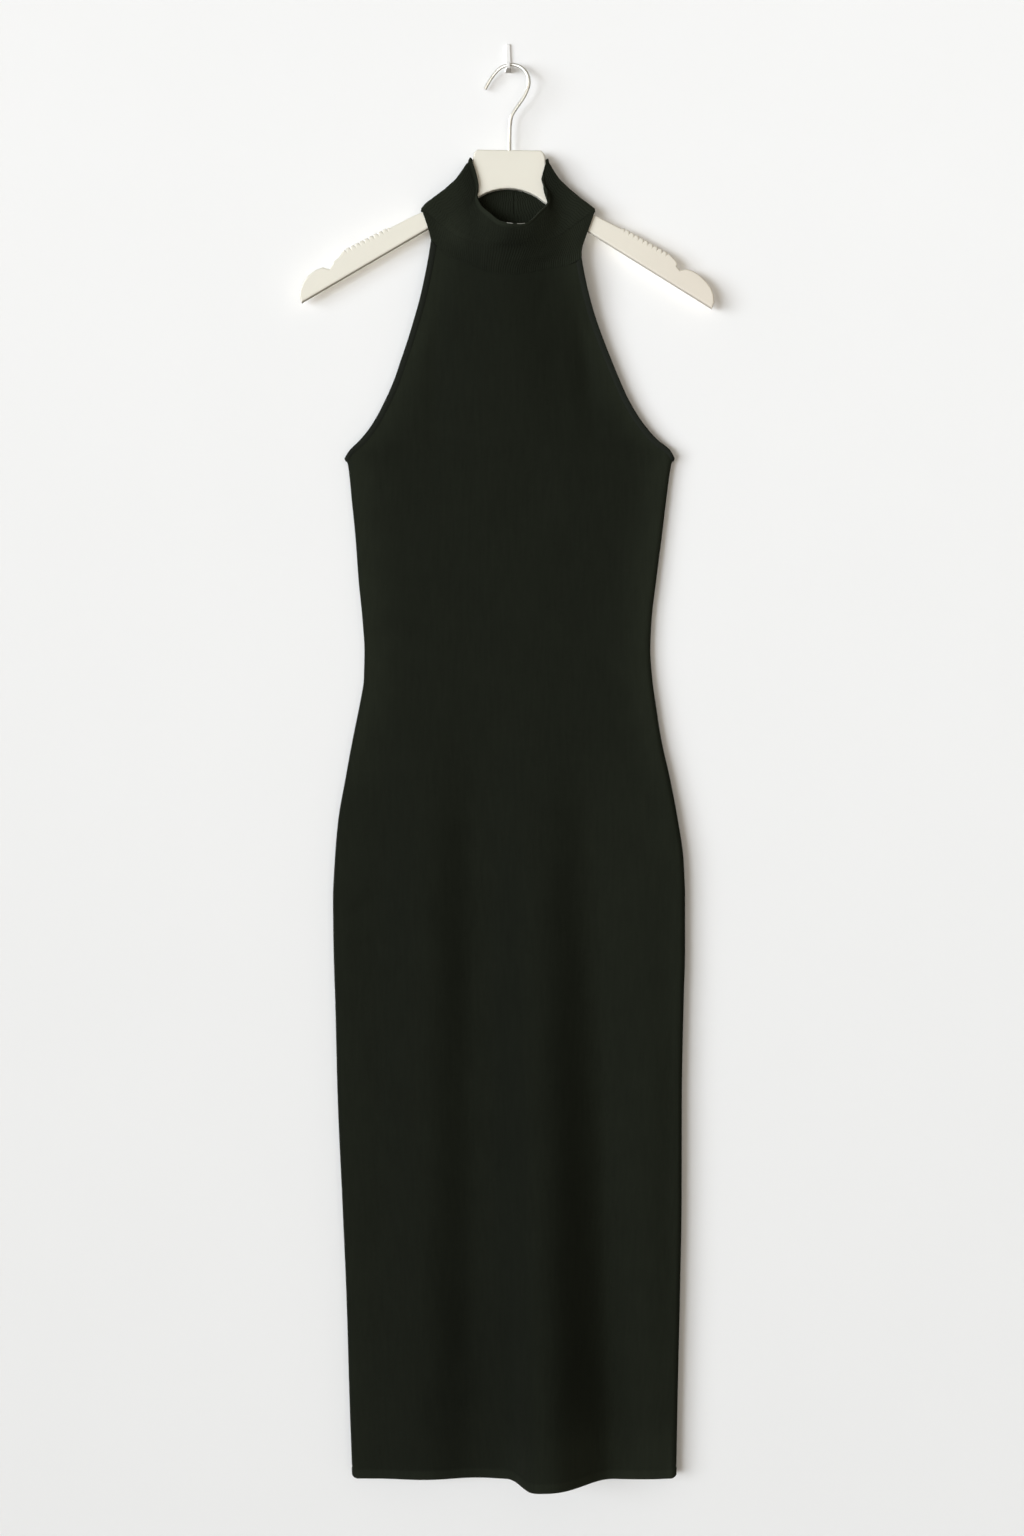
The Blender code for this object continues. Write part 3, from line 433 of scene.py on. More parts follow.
def smooth_line(points, count):
    """Points evenly spread along a smooth line through the given ones."""
    points = np.array(points, float)
    knots = travelled(points)
    steps = np.diff(points, axis=0)
    lengths = np.linalg.norm(steps, axis=1)
    slopes = steps / lengths[:, None]
    share = (lengths[:-1] / (lengths[:-1] + lengths[1:]))[:, None]
    middle = slopes[:-1] * (1 - share) + slopes[1:] * share
    tangents = np.vstack([slopes[:1], middle, slopes[-1:]])
    at = np.linspace(0, knots[-1], 24 * len(points))
    i = np.clip(np.searchsorted(knots, at, side="right") - 1, 0, len(knots) - 2)
    u = ((at - knots[i]) / lengths[i])[:, None]
    return evenly(hermite(points, tangents, lengths[i][:, None], i, u), count)


def point_along(line, share):
    """The point at a share of a line's points."""
    at = np.linspace(0, 1, len(line))
    return np.array([np.interp(share, at, line[:, k]) for k in range(line.shape[1])])


def distance_to_line(points, line):
    """How far each point, as across and below, is from a line of straight pieces."""
    line = np.array(line, float)
    nearest = np.full(points.shape[:-1], np.inf)
    for start, end in zip(line[:-1], line[1:]):
        run = end - start
        share = np.clip((points - start) @ run / (run @ run), 0, 1)
        away = np.linalg.norm(points - start - share[..., None] * run, axis=-1)
        nearest = np.minimum(nearest, away)
    return nearest


def trough_depth(points):
    """Depth of the collar's soft hollow, whose width and depth change along its line."""
    rows = smooth_line(COLLAR_TROUGH_LINE, TROUGH_POINTS)
    away = np.linalg.norm(points[:, None, :2] - rows[None, :, :2], axis=2)
    nearest = np.argmin(away, axis=1)
    return bell(away.min(axis=1), 0, rows[nearest, 2], rows[nearest, 3])


def rounding(distance, reach, squareness=2.0):
    """From 0 at an edge to 1 at reach from it, as a rounded edge rises."""
    inward = np.clip(1 - distance / reach, 0, 1)
    return (1 - inward**squareness) ** (1 / squareness)


def eased(share):
    """A share from 0 to 1 made slow at both ends."""
    share = np.clip(share, 0, 1)
    return share * share * (3 - 2 * share)


def ramp(value, start, length):
    """0 up to start and 1 a length further on. A negative length goes the other way."""
    return eased((value - start) / length)


def bell(value, middle, reach, height=1.0):
    """A soft hill, or a hollow where height is negative, round a middle value."""
    return height * np.exp(-(((value - middle) / reach) ** 2))


def patch(across, below, middle_across, middle_below, reach_across, reach_down):
    """1 in the middle of a soft oval patch, and 0 well outside it."""
    away = ((across - middle_across) / reach_across) ** 2 + ((below - middle_below) / reach_down) ** 2
    return np.exp(-away)


def edge_across(side, below):
    """Across of the dress's left (-1) or right (+1) edge at a height."""
    index = 1 if side < 0 else 2
    return np.where(below < UNDERARM_BELOW, column(ARMHOLE, index, below), column(SIDES, index, below))


def fold_height(across, below, for_back):
    """How far the lengthwise folds bring the cloth forward at a point."""
    total = np.zeros_like(across)
    for fold in map(Fold._make, FOLDS):
        down = np.clip((below - fold.top) / (fold.end - fold.top), 0, 1)
        rise = ramp(below, fold.top, fold.full - fold.top)
        if fold.full == fold.end:
            rise = down**FOLD_RISE
            ease_out = 0
        else:
            ease_out = ramp(below, fold.full, fold.end - fold.full)
        height = rise * (fold.height_full + (fold.height_end - fold.height_full) * ease_out)
        ridge = fold.across_top + (fold.across_end - fold.across_top) * down
        left = fold.left_top + (fold.left_end - fold.left_top) * down
        right = fold.right_top + (fold.right_end - fold.right_top) * down
        from_left = np.clip((ridge - across) / left, 0, 1)
        if fold.full == fold.end:
            from_left = from_left + (eased(from_left) - from_left) * down
        from_right = np.clip((across - ridge) / right, 0, 1) ** FOLD_FALL
        away = np.where(across < ridge, from_left, from_right)
        share = fold.back_share if for_back else 1
        total = total + share * height * 0.5 * (1 + np.cos(math.pi * away))
    return total


def seam_depth(below):
    """Depth of the side seams, which stand a little further from the wall below the waist."""
    return SIDE_SEAM_DEPTH + SIDE_SEAM_FORWARD * ramp(below, *SIDE_SEAM_FORWARD_RAMP)


def side_rounding(across, below):
    """0 on the side seams, and 1 where the cloth lies flat beside them."""
    low = np.maximum(below, UNDERARM_BELOW)
    inward = np.minimum(across - column(SIDES, 1, low), column(SIDES, 2, low) - across)
    return rounding(inward, SIDE_ROUNDING)


def front_depth(across, below):
    """Depth of the front's outer surface."""
    left = edge_across(-1, below)
    right = edge_across(1, below)
    share = np.clip((2 * across - left - right) / (right - left), -1, 1)
    edge, middle = (column(FRONT_DEPTH, index, below) for index in (1, 2))
    face = edge + (middle - edge) * np.cos(math.pi / 2 * share) ** 2
    face = face + fold_height(across, below, False)
    seam = seam_depth(below)
    return seam + (face - seam) * side_rounding(across, below)


def back_depth(across, below):
    """Depth of the back's outer surface, the one towards the wall."""
    face = column(BACK_DEPTH, 1, below) + fold_height(across, below, True)
    seam = seam_depth(below)
    return seam + (face - seam) * side_rounding(across, below)


def armhole_line(side, for_back, inset):
    """An armhole's edge from the collar to the underarm, moved into the cloth by inset: across, below."""
    rows = np.array(ARMHOLE)
    below = rows[:, 0]
    across = rows[:, 1] if side < 0 else rows[:, 2]
    if side > 0:
        below, across = below[1:], across[1:]
    line = smooth_line(np.stack([across, below], axis=1), ARMHOLE_POINTS)
    down = np.linspace(0, 1, len(line))
    towards_end = ramp(down, *ARMHOLE_END_RAMP)
    tangent = np.gradient(line, axis=0)
    tangent = tangent / np.linalg.norm(tangent, axis=1)[:, None]
    inward = np.stack([-side * np.abs(tangent[:, 1]), np.abs(tangent[:, 0])], axis=1)
    end_direction = np.array(ARMHOLE_END_DIRECTION) * (-side, 1)
    inward = inward * (1 - towards_end)[:, None] + end_direction * towards_end[:, None]
    inward = inward / np.linalg.norm(inward, axis=1)[:, None]
    line = line + inset * inward * (1 - ARMHOLE_END_NARROWER * towards_end)[:, None]
    if for_back:
        line[:, 0] -= side * BACK_ARMHOLE_INSET * (1 - towards_end)
    return line


def seam_below(across, for_back):
    """The height of the seam between the collar and a panel."""
    return column(SEAM_BACK if for_back else SEAM_FRONT, 1, across)


def panel_row_below(across, level, for_back):
    """The height of one row of a panel. The first row follows the collar's seam, and lower ones are level."""
    fade = np.clip(1 - (level - SEAM_LOW) / SEAM_FADE_LENGTH, 0, 1) ** SEAM_FADE_POWER
    return level + (seam_below(across, for_back) - SEAM_LOW) * fade


def row_crossing(line, level, for_back):
    """Where a line down an armhole meets one row of a panel, as a share of the line's points."""
    short = line[:, 1] - panel_row_below(line[:, 0], level, for_back)
    return float(np.interp(0, short, np.linspace(0, 1, len(line))))


def unevenness(across, below):
    """Height of the slow waves in the cloth."""
    total = np.zeros_like(across)
    for wave in map(Wave._make, WAVES):
        sideways = np.sin(2 * math.pi * across / wave.across + wave.phase)
        downwards = np.cos(2 * math.pi * below / wave.down + WAVE_PHASE_DOWN * wave.phase)
        total += wave.height * sideways * downwards
    return total


def crease_height(across, below):
    """Height of the small creases of the front."""
    total = np.zeros_like(across)
    for crease in map(Crease._make, CREASES):
        start = np.array([crease.from_across, crease.from_below])
        run = np.array([crease.to_across, crease.to_below]) - start
        points = np.stack([across, below], axis=-1)
        along = np.clip((points - start) @ run / (run @ run), 0, 1)
        away = np.linalg.norm(points - start - along[..., None] * run, axis=-1)
        taper = np.sin(math.pi * (CREASE_END_SHARE + (1 - 2 * CREASE_END_SHARE) * along)) ** CREASE_END_POWER
        total += crease.height * taper * bell(away, 0, crease.width)
    return total


def painted_edge_light(across, below):
    """Painted light along a panel's left and right edges, standing in for the light on their rounding."""
    inward = np.minimum(across - edge_across(-1, below), edge_across(1, below) - across)
    above_hips = 1 - ramp(below, *EDGE_LOW_RAMP)
    at_edge = EDGE_PAINTED_LIGHT_LOW + (EDGE_PAINTED_LIGHT - EDGE_PAINTED_LIGHT_LOW) * above_hips
    return at_edge * bell(np.maximum(inward, 0), 0, EDGE_PAINTED_LIGHT_REACH)


def panel_grid(for_back):
    """The outer surface of the front or the back, as rows of points: across, depth, below."""
    levels = np.arange(SEAM_LOW, HEM_BELOW, PANEL_ROW_STEP)
    more = [SEAM_LOW + PANEL_FIRST_ROW, SIDE_TOP_BELOW, *(HEM_BELOW - up for up in PANEL_LAST_ROWS)]
    levels = np.unique(np.concatenate([levels, more]))
    depth_of = back_depth if for_back else front_depth
    edges = {side: armhole_line(side, for_back, TRIM_WIDTH - TRIM_TUCK) for side in (-1, 1)}
    angles = np.linspace(0, math.pi / 2, SIDE_TURN_STEPS + 1)[:-1]
    turn_round = SIDE_ROUNDING * (1 - np.cos(angles))
    turn_flat = np.linspace(0, SIDE_ROUNDING, SIDE_TURN_STEPS + 1)[:-1]
    rows = []
    for level in levels:
        ends = []
        for side in (-1, 1):
            if level >= SIDE_TOP_BELOW - SIDE_TOP_REACH:
                ends.append(float(edge_across(side, level)))
            else:
                share = row_crossing(edges[side], level, for_back)
                ends.append(float(point_along(edges[side], share)[0]))
        left, right = ends
        turn = turn_round if level >= SIDE_TOP_BELOW else turn_flat
        face = np.linspace(left + SIDE_ROUNDING, right - SIDE_ROUNDING, FINE_POINTS)
        below = panel_row_below(face, level, for_back)
        face = evenly(np.stack([face, depth_of(face, below), below], axis=1), PANEL_FACE_COLUMNS)
        across = np.concatenate([left + turn, face[:, 0], (right - turn)[::-1]])
        below = panel_row_below(across, level, for_back)
        depth = depth_of(across, below)
        inward = np.minimum(across - left, right - across)
        calm = eased(inward / CALM_REACH)
        if for_back:
            depth = depth - np.abs(unevenness(across + BACK_WAVE_SHIFT, below)) * calm
        else:
            uneven = unevenness(across, below) + crease_height(across, below)
            depth = depth + uneven * np.maximum(calm, CALM_LEAST)
        to_hem = HEM_BELOW - below
        rise = HEM_CORNER_RISE * np.clip(1 - inward / SIDE_ROUNDING, 0, 1) ** 2
        below = below - rise * np.clip(1 - to_hem / HEM_CORNER_REACH, 0, 1)
        rows.append(np.stack([across, depth, below], axis=1))
    return np.array(rows)


def trim_grid(side):
    """The band round one armhole: down the front edge, round the underarm and up the back edge."""
    halves = []
    insets = np.linspace(0, TRIM_WIDTH, TRIM_COLUMNS)
    for for_back in (False, True):
        depth_of = back_depth if for_back else front_depth
        lines = []
        for inset in insets:
            line = armhole_line(side, for_back, inset)
            first = row_crossing(line, SEAM_LOW, for_back)
            shares = np.linspace(first, 1, TRIM_STATIONS)
            part = np.array([point_along(line, share) for share in shares])
            depth = depth_of(part[:, 0], part[:, 1])
            depth[-1] = SIDE_SEAM_DEPTH
            lines.append(np.stack([part[:, 0], depth, part[:, 1]], axis=1))
        halves.append(np.stack(lines, axis=1))
    return np.concatenate([halves[0], halves[1][-2::-1]])


def stretch(line, share):
    """The point that lies a share of the way along a line."""
    fine = smooth_line(line, FINE_POINTS)
    return fine[int(round(share * (FINE_POINTS - 1)))]


def collar_side(side, for_back, level):
    """Where one level of the collar meets its side: on the fold, or on a free edge below the corner."""
    if level <= CORNER_SHARE:
        return stretch(COLLAR_FOLDS[side], level / CORNER_SHARE)
    return stretch(COLLAR_FREE[side, for_back], (level - CORNER_SHARE) / (1 - CORNER_SHARE))


def collar_ends(for_back):
    """The collar's rim and its seam: across, below, and the depth that each adds to the fold's."""
    count = FINE_POINTS
    if for_back:
        rim = np.array([COLLAR_FOLDS[-1][0], COLLAR_FOLDS[1][0]], float)
        share = np.linspace(0, 1, count)[:, None]
        rim = rim[0] * (1 - share) + rim[1] * share
        rim[:, 1] += COLLAR_BACK_SAG * np.sin(math.pi * share[:, 0])
        rim = np.column_stack([rim, np.zeros(count)])
    else:
        rim = smooth_line(COLLAR_RIM, count)
        rim[:, 2] -= BOARD_DEPTH + FOLD_HALF_DEPTH
    seam_table = SEAM_BACK if for_back else SEAM_FRONT
    across = np.linspace(seam_table[0][0], seam_table[-1][0], count)
    below = seam_below(across, for_back)
    if for_back:
        more = BOARD_DEPTH - FOLD_HALF_DEPTH - back_depth(across, below)
    else:
        more = front_depth(across, below) - BOARD_DEPTH - FOLD_HALF_DEPTH
    seam = evenly(np.stack([across, below, more], axis=1), count)
    return rim, seam


def collar_row(level, for_back, columns, ends):
    """One level of half of the collar, blended between its rim, its seam and its two sides."""
    rim, seam = ends
    share = np.linspace(0, 1, len(rim))[:, None]
    left = collar_side(-1, for_back, level)
    right = collar_side(1, for_back, level)
    corners = (
        (1 - share) * ((1 - level) * rim[0, :2] + level * seam[0, :2])
        + share * ((1 - level) * rim[-1, :2] + level * seam[-1, :2])
    )
    flat = (1 - level) * rim[:, :2] + level * seam[:, :2]
    flat = flat + (1 - share) * left + share * right - corners
    flat[0] = left
    flat[-1] = right
    more = (1 - level) * rim[:, 2] + level * seam[:, 2]
    if not for_back:
        more = more + COLLAR_BULGE * math.sin(math.pi * level) * np.sin(math.pi * share[:, 0]) ** 3
        in_trough = math.sin(math.pi * min(1, TROUGH_LEVEL_SHARE * level + TROUGH_LEVEL_START)) ** 0.5
        more = more - trough_depth(flat) * in_trough
    from_fold = np.minimum(*(distance_to_line(flat, fold) for fold in COLLAR_FOLDS.values()))
    raised = rounding(from_fold, FOLD_ROUNDING, FOLD_SQUARENESS)
    soft = 0.5 * (more + np.sqrt(more**2 + COLLAR_SOFTNESS**2))
    out = raised * (FOLD_HALF_DEPTH + soft * raised)
    depth = BOARD_DEPTH - out if for_back else BOARD_DEPTH + out
    return evenly(np.stack([flat[:, 0], depth, flat[:, 1]], axis=1), columns + 1)


def collar_levels():
    """Levels from rim to seam, closer together at both and beside the corners."""
    levels = np.linspace(0, 1, COLLAR_ROWS)
    near_corner = CORNER_SHARE + np.array(COLLAR_CORNER_LEVELS)
    levels = levels[np.abs(levels - CORNER_SHARE) > COLLAR_CORNER_CLEAR]
    return np.unique(np.round(np.concatenate([levels, COLLAR_END_LEVELS, near_corner]), 5))


def collar_grids():
    """Front and back of the collar, joined down their sides as far as the corners."""
    levels = collar_levels()
    grids = []
    for for_back in (False, True):
        ends = collar_ends(for_back)
        middle = collar_row(0.5, for_back, FINE_POINTS // 2, ends)
        ribs = round(travelled(middle)[-1] / RIB_PITCH)
        grid = np.array([collar_row(level, for_back, POINTS_PER_RIB * ribs, ends) for level in levels])
        grids.append(grid[:, ::-1] if for_back else grid)
    front, back = grids
    split = int(np.argmax(levels >= round(CORNER_SHARE, 5)))
    back[: split + 1, 0] = front[: split + 1, -1]
    back[: split + 1, -1] = front[: split + 1, 0]
    return front, back


def joined(grids):
    """Points, quads and a table of point indices for each grid; points that grids share are made one."""
    points, tables, quads, known = [], [], [], {}
    for grid in grids:
        table = np.empty(grid.shape[:2], int)
        for at in np.ndindex(*grid.shape[:2]):
            key = tuple(np.round(grid[at], 4))
            if key not in known:
                known[key] = len(points)
                points.append(grid[at])
            table[at] = known[key]
        tables.append(table)
        corners = [table[:-1, :-1], table[1:, :-1], table[1:, 1:], table[:-1, 1:]]
        quads.append(np.stack([corner.ravel() for corner in corners], axis=1))
    return np.array(points), np.concatenate(quads), tables


def added(name, data):
    """A new object of the scene, made from its data."""
    made = bpy.data.objects.new(name, data)
    bpy.context.scene.collection.objects.link(made)
    return made


def vertex_normals(points, quads):
    """A normal for each point, the mean of those of the quads round it."""
    first, second, third, fourth = (points[quads[:, k]] for k in range(4))
    normal = np.cross(third - first, fourth - second)
    total = np.zeros_like(points)
    for k in range(4):
        np.add.at(total, quads[:, k], normal)
    return total / np.maximum(np.linalg.norm(total, axis=1)[:, None], 1e-12)


def painted_shading_by_lean(normals, painted_shading):
    """Painted light and shade on each point, lighter or darker by the way that the cloth leans there."""
    to_left, to_right, downwards = np.broadcast_to(painted_shading, normals.shape).T
    lean = np.clip(normals[:, 0], -LEAN_SHADING_LIMIT, LEAN_SHADING_LIMIT)
    down = np.clip(-normals[:, 2], 0, LEAN_SHADING_LIMIT)
    return 1 + to_left * np.maximum(-lean, 0) + to_right * np.maximum(lean, 0) + downwards * down


def cloth(
    name, look, points, quads, cloth_lengths, wall, reliefs, seam=False, glint=0.0, painted_light_and_shade=0.0, painted_shading=PANEL_LEAN_SHADING,
    inside_painted_light=1.0,
):
    """A closed wall of cloth: its outer points, its inner points behind them, and rims along its edges.

    points, wall and reliefs (outer, inner) are in millimetres, and quads face outwards. cloth_lengths is each
    point's place along the knitted cloth and becomes the UV map, in metres. seam says which points are on a
    seam, where the shading stays sharp. The other arguments paint onto the colour: a glint, which is a
    painted highlight, on some points, painted light and shade by place and by lean, and painted light on the
    inner face.
    """
    placed_points = placed(points)
    normals = vertex_normals(placed_points, quads)
    outer = placed_points + normals * (reliefs[0] * MM)[:, None]
    inner = placed_points - normals * ((wall + reliefs[1]) * MM)[:, None]
    count = len(points)
    sides = np.concatenate([quads[:, [k, (k + 1) % 4]] for k in range(4)])
    _, first, times = np.unique(np.sort(sides, axis=1), axis=0, return_index=True, return_counts=True)
    border = sides[first[times == 1]]
    rim = np.stack([border[:, 1], border[:, 0], border[:, 0] + count, border[:, 1] + count], axis=1)
    faces = np.concatenate([quads, quads[:, ::-1] + count, rim])
    mesh = bpy.data.meshes.new(name)
    mesh.from_pydata(np.concatenate([outer, inner]).tolist(), [], faces.tolist())
    uv = mesh.uv_layers.new(name="UVMap")
    lengths = np.concatenate([cloth_lengths, cloth_lengths]) * MM
    loops = np.zeros(len(mesh.loops), np.int32)
    mesh.loops.foreach_get("vertex_index", loops)
    uv.data.foreach_set("uv", lengths[loops].astype(np.float32).ravel())
    # Painted light and shade: by lean and place on the outer points, and painted light on the inner ones
    tones = np.concatenate([painted_shading_by_lean(normals, painted_shading) * (1 + painted_light_and_shade), np.full(count, inside_painted_light)])
    mesh.attributes.new("painted_shading", "FLOAT", "POINT").data.foreach_set("value", tones.astype(np.float32))
    # Points marked for a painted glint, a pale highlight in the colour
    glint_marks = np.zeros(2 * count, np.float32)
    glint_marks[:count] = glint
    mesh.attributes.new("glint", "FLOAT", "POINT").data.foreach_set("value", glint_marks)
    mesh.shade_smooth()
    ends = np.zeros(2 * len(mesh.edges), np.int32)
    mesh.edges.foreach_get("vertices", ends)
    ends = ends.reshape(-1, 2)
    on_seam = np.tile(np.broadcast_to(seam, count), 2)
    same_side = (ends[:, 0] < count) == (ends[:, 1] < count)
    sharp = on_seam[ends[:, 0]] & on_seam[ends[:, 1]] & same_side
    mesh.attributes.new("sharp_edge", "BOOLEAN", "EDGE").data.foreach_set("value", sharp)
    mesh.materials.append(look)
    return added(name, mesh)


def lengths_along(grid):
    """How far each point of a grid is along the cloth, from the middle of its row and from the top."""
    across = travelled(grid, axis=1)
    across = across - across[:, [grid.shape[1] // 2]]
    down = np.repeat(travelled(grid).mean(axis=1)[:, None], grid.shape[1], axis=1)
    return np.stack([across, down], axis=-1)


class Look:
    """A node material, with short calls for the nodes that the looks here need."""

    def __init__(self, name):
        self.material = bpy.data.materials.new(name)
        self.material.use_nodes = True
        self.nodes = self.material.node_tree.nodes
        self.links = self.material.node_tree.links
        self.shader = self.nodes["Principled BSDF"]

    def node(self, kind, **settings):
        made = self.nodes.new(kind)
        for key, value in settings.items():
            setattr(made, key, value)
        return made

    def feed(self, socket, value):
        if isinstance(value, bpy.types.NodeSocket):
            self.links.new(value, socket)
        else:
            socket.default_value = value

    def give(self, name, value):
        """Sets or feeds one of the shader's own inputs."""
        self.feed(self.shader.inputs[name], value)

    def where(self, kind="Object"):
        """Each point's place on the object, or on the cloth where kind is UV."""
        return self.node("ShaderNodeTexCoord").outputs[kind]

    def part(self, vector, axis):
        made = self.node("ShaderNodeSeparateXYZ")
        self.feed(made.inputs[0], vector)
        return made.outputs[axis]

    def scaled(self, vector, scale):
        made = self.node("ShaderNodeMapping")
        made.inputs["Scale"].default_value = scale
        self.feed(made.inputs["Vector"], vector)
        return made.outputs[0]

    def attribute(self, name):
        return self.node("ShaderNodeAttribute", attribute_name=name).outputs["Fac"]

    def math(self, operation, a, b=0.0):
        made = self.node("ShaderNodeMath", operation=operation)
        self.feed(made.inputs[0], a)
        self.feed(made.inputs[1], b)
        return made.outputs[0]

    def noise(self, vector, scale, detail=3.0, roughness=0.5):
        made = self.node("ShaderNodeTexNoise")
        self.feed(made.inputs["Vector"], vector)
        for key, number in (("Scale", scale), ("Detail", detail), ("Roughness", roughness)):
            made.inputs[key].default_value = number
        return made.outputs["Fac"]

    def between(self, value, low, high, given=NOISE_RANGE):
        """A number taken from its given range to the range from low to high."""
        made = self.node("ShaderNodeMapRange")
        self.feed(made.inputs["Value"], value)
        for key, number in zip(("From Min", "From Max", "To Min", "To Max"), (*given, low, high)):
            made.inputs[key].default_value = number
        return made.outputs["Result"]

    def mixed(self, factor, a, b, **settings):
        made = self.node("ShaderNodeMix", data_type="RGBA", **settings)
        for key, value in (("Factor", factor), ("A", a), ("B", b)):
            self.feed(made.inputs[key], value)
        return made.outputs["Result"]

    def tint(self, colour, amount):
        """A colour times a number that comes from another node."""
        grey = self.node("ShaderNodeCombineColor")
        for channel in grey.inputs:
            self.feed(channel, amount)
        return self.mixed(1.0, (*colour, 1.0), grey.outputs[0], blend_type="MULTIPLY")

    def bump(self, height, distance, strength, under=None):
        made = self.node("ShaderNodeBump")
        self.feed(made.inputs["Height"], height)
        made.inputs["Distance"].default_value = distance
        made.inputs["Strength"].default_value = strength
        if under is not None:
            self.feed(made.inputs["Normal"], under)
        return made.outputs["Normal"]

    def clear_from_behind(self):
        """Lets the surface be seen from its front alone."""
        mix = self.node("ShaderNodeMixShader")
        self.feed(mix.inputs[0], self.node("ShaderNodeNewGeometry").outputs["Backfacing"])
        self.feed(mix.inputs[1], self.shader.outputs[0])
        self.feed(mix.inputs[2], self.node("ShaderNodeBsdfTransparent").outputs[0])
        output = next(node for node in self.nodes if node.type == "OUTPUT_MATERIAL")
        self.feed(output.inputs["Surface"], mix.outputs[0])


def knit_look(name, colour, wale, course, sheen, depth):
    """Plain knit: columns of small V stitches along the cloth, with uneven yarn and a soft sheen."""
    look = Look(name)
    where = look.where("UV")
    across = look.math("DIVIDE", look.part(where, "X"), wale * MM)
    down = look.math("DIVIDE", look.part(where, "Y"), course * MM)
    leg = look.math("PINGPONG", across, 0.5)
    slanted = look.math("ADD", down, look.math("MULTIPLY", leg, STITCH_SLANT))
    loop = look.math("SINE", look.math("MULTIPLY", slanted, 2 * math.pi))
    column_height = look.math("SINE", look.math("MULTIPLY", leg, 2 * math.pi))
    column_height = look.math("MULTIPLY", column_height, STITCH_COLUMN_SHARE)
    stitch = look.math("ADD", column_height, look.math("MULTIPLY", loop, STITCH_LOOP_SHARE))
    fuzz = look.noise(where, scale=1600.0, detail=2.0, roughness=0.7)
    streak = look.noise(look.scaled(where, STREAK_SCALE), scale=1.0, detail=3.0, roughness=0.6)
    patches = look.noise(where, scale=22.0, detail=4.0, roughness=0.55)
    shade = look.math("ADD", look.between(patches, 0.95, 1.05), look.between(streak, -0.08, 0.08))
    shade = look.math("ADD", shade, look.between(fuzz, -0.12, 0.12))
    shade = look.math("ADD", shade, look.math("MULTIPLY", stitch, STITCH_SHADE))
    # Painted light and shade, by the cloth's lean and place, multiplies the colour
    shade = look.math("MULTIPLY", shade, look.attribute("painted_shading"))
    # Painted glints: a pale highlight painted on the points marked for it
    glint = (*GLINT_COLOUR, 1.0)
    look.give("Base Color", look.mixed(look.attribute("glint"), look.tint(colour, shade), glint))
    look.give("Roughness", look.between(fuzz, 0.80, 0.95))
    look.give("Specular IOR Level", 0.06)
    look.give("Sheen Weight", sheen)
    look.give("Sheen Roughness", 0.45)
    look.give("Sheen Tint", (*SHEEN_COLOUR, 1.0))
    yarn = look.math("ADD", streak, look.math("MULTIPLY", fuzz, 0.5))
    coarse = look.bump(yarn, distance=0.0004, strength=0.35)
    look.give("Normal", look.bump(stitch, distance=depth * MM, strength=0.6, under=coarse))
    return look.material


def board_look():
    """Cream satin paint, yellower towards the hanger's right end, and a little darker on its sharpest edges.
    """
    look = Look("cream_satin_paint")
    where = look.where()
    mottle = look.noise(where, scale=18.0, detail=4.0, roughness=0.6)
    grain = look.noise(where, scale=900.0, detail=2.0, roughness=0.6)
    # A little darker on the board's sharpest edges
    edge = look.node("ShaderNodeNewGeometry").outputs["Pointiness"]
    darker_edges = look.between(edge, 0.0, 0.05, given=EDGE_DARKENING_RANGE)
    shade = look.math("SUBTRACT", look.between(mottle, 0.98, 1.01), darker_edges)
    # Yellower towards the hanger's right end
    towards_right_end = look.between(look.part(where, "X"), 0.0, 1.0, given=RIGHT_END_ACROSS)
    colours = (look.tint(colour, shade) for colour in (BOARD_COLOUR, BOARD_RIGHT_END_COLOUR))
    look.give("Base Color", look.mixed(towards_right_end, *colours))
    look.give("Roughness", look.between(mottle, 0.42, 0.55))
    look.give("Specular IOR Level", 0.4)
    look.give("Normal", look.bump(grain, distance=0.00012, strength=0.25))
    return look.material


def wire_look():
    """Bright plated wire, a little dull, with fine scratches along it."""
    look = Look("plated_wire")
    where = look.where()
    scratches = look.noise(look.scaled(where, SCRATCH_SCALE), scale=1.0, detail=3.0, roughness=0.6)
    spots = look.noise(where, scale=140.0)
    look.give("Base Color", look.tint(WIRE_COLOUR, look.between(spots, 0.92, 1.04)))
    look.give("Roughness", look.between(scratches, 0.24, 0.40))
    look.give("Metallic", 0.7)
    look.give("Normal", look.bump(scratches, distance=0.00005, strength=0.3))
    return look.material


def hook_look():
    """White paint of the hook in the wall."""
    look = Look("white_hook_paint")
    mottle = look.noise(look.where(), scale=60.0, detail=4.0, roughness=0.6)
    look.give("Base Color", look.tint(HOOK_COLOUR, look.between(mottle, 0.97, 1.02)))
    look.give("Roughness", look.between(mottle, 0.37, 0.50))
    look.give("Normal", look.bump(mottle, distance=0.0001, strength=0.3))
    return look.material


def wall_look():
    """Matt wall paint, seen from its front alone, so that it doesn't hide the back of the object, and painted
    darker towards the floor as painted shade of the light falling off.
    """
    look = Look("wall_paint")
    where = look.where()
    mottle = look.noise(where, scale=5.0, detail=4.0, roughness=0.55)
    orange_peel = look.noise(where, scale=420.0, detail=2.0)
    # Painted shade: the wall is darker towards the floor, for the light falling off
    painted_falloff_shade = look.between(look.part(where, "Z"), WALL_LOW_PAINTED_SHADE, 1.0, given=WALL_FALLOFF_HEIGHTS)
    shade = look.math("MULTIPLY", painted_falloff_shade, look.between(mottle, 0.994, 1.003))
    look.give("Base Color", look.tint(WALL_COLOUR, shade))
    look.give("Roughness", 0.9)
    look.give("Specular IOR Level", 0.1)
    look.give("Normal", look.bump(orange_peel, distance=0.0002, strength=0.08))
    look.clear_from_behind()
    return look.material


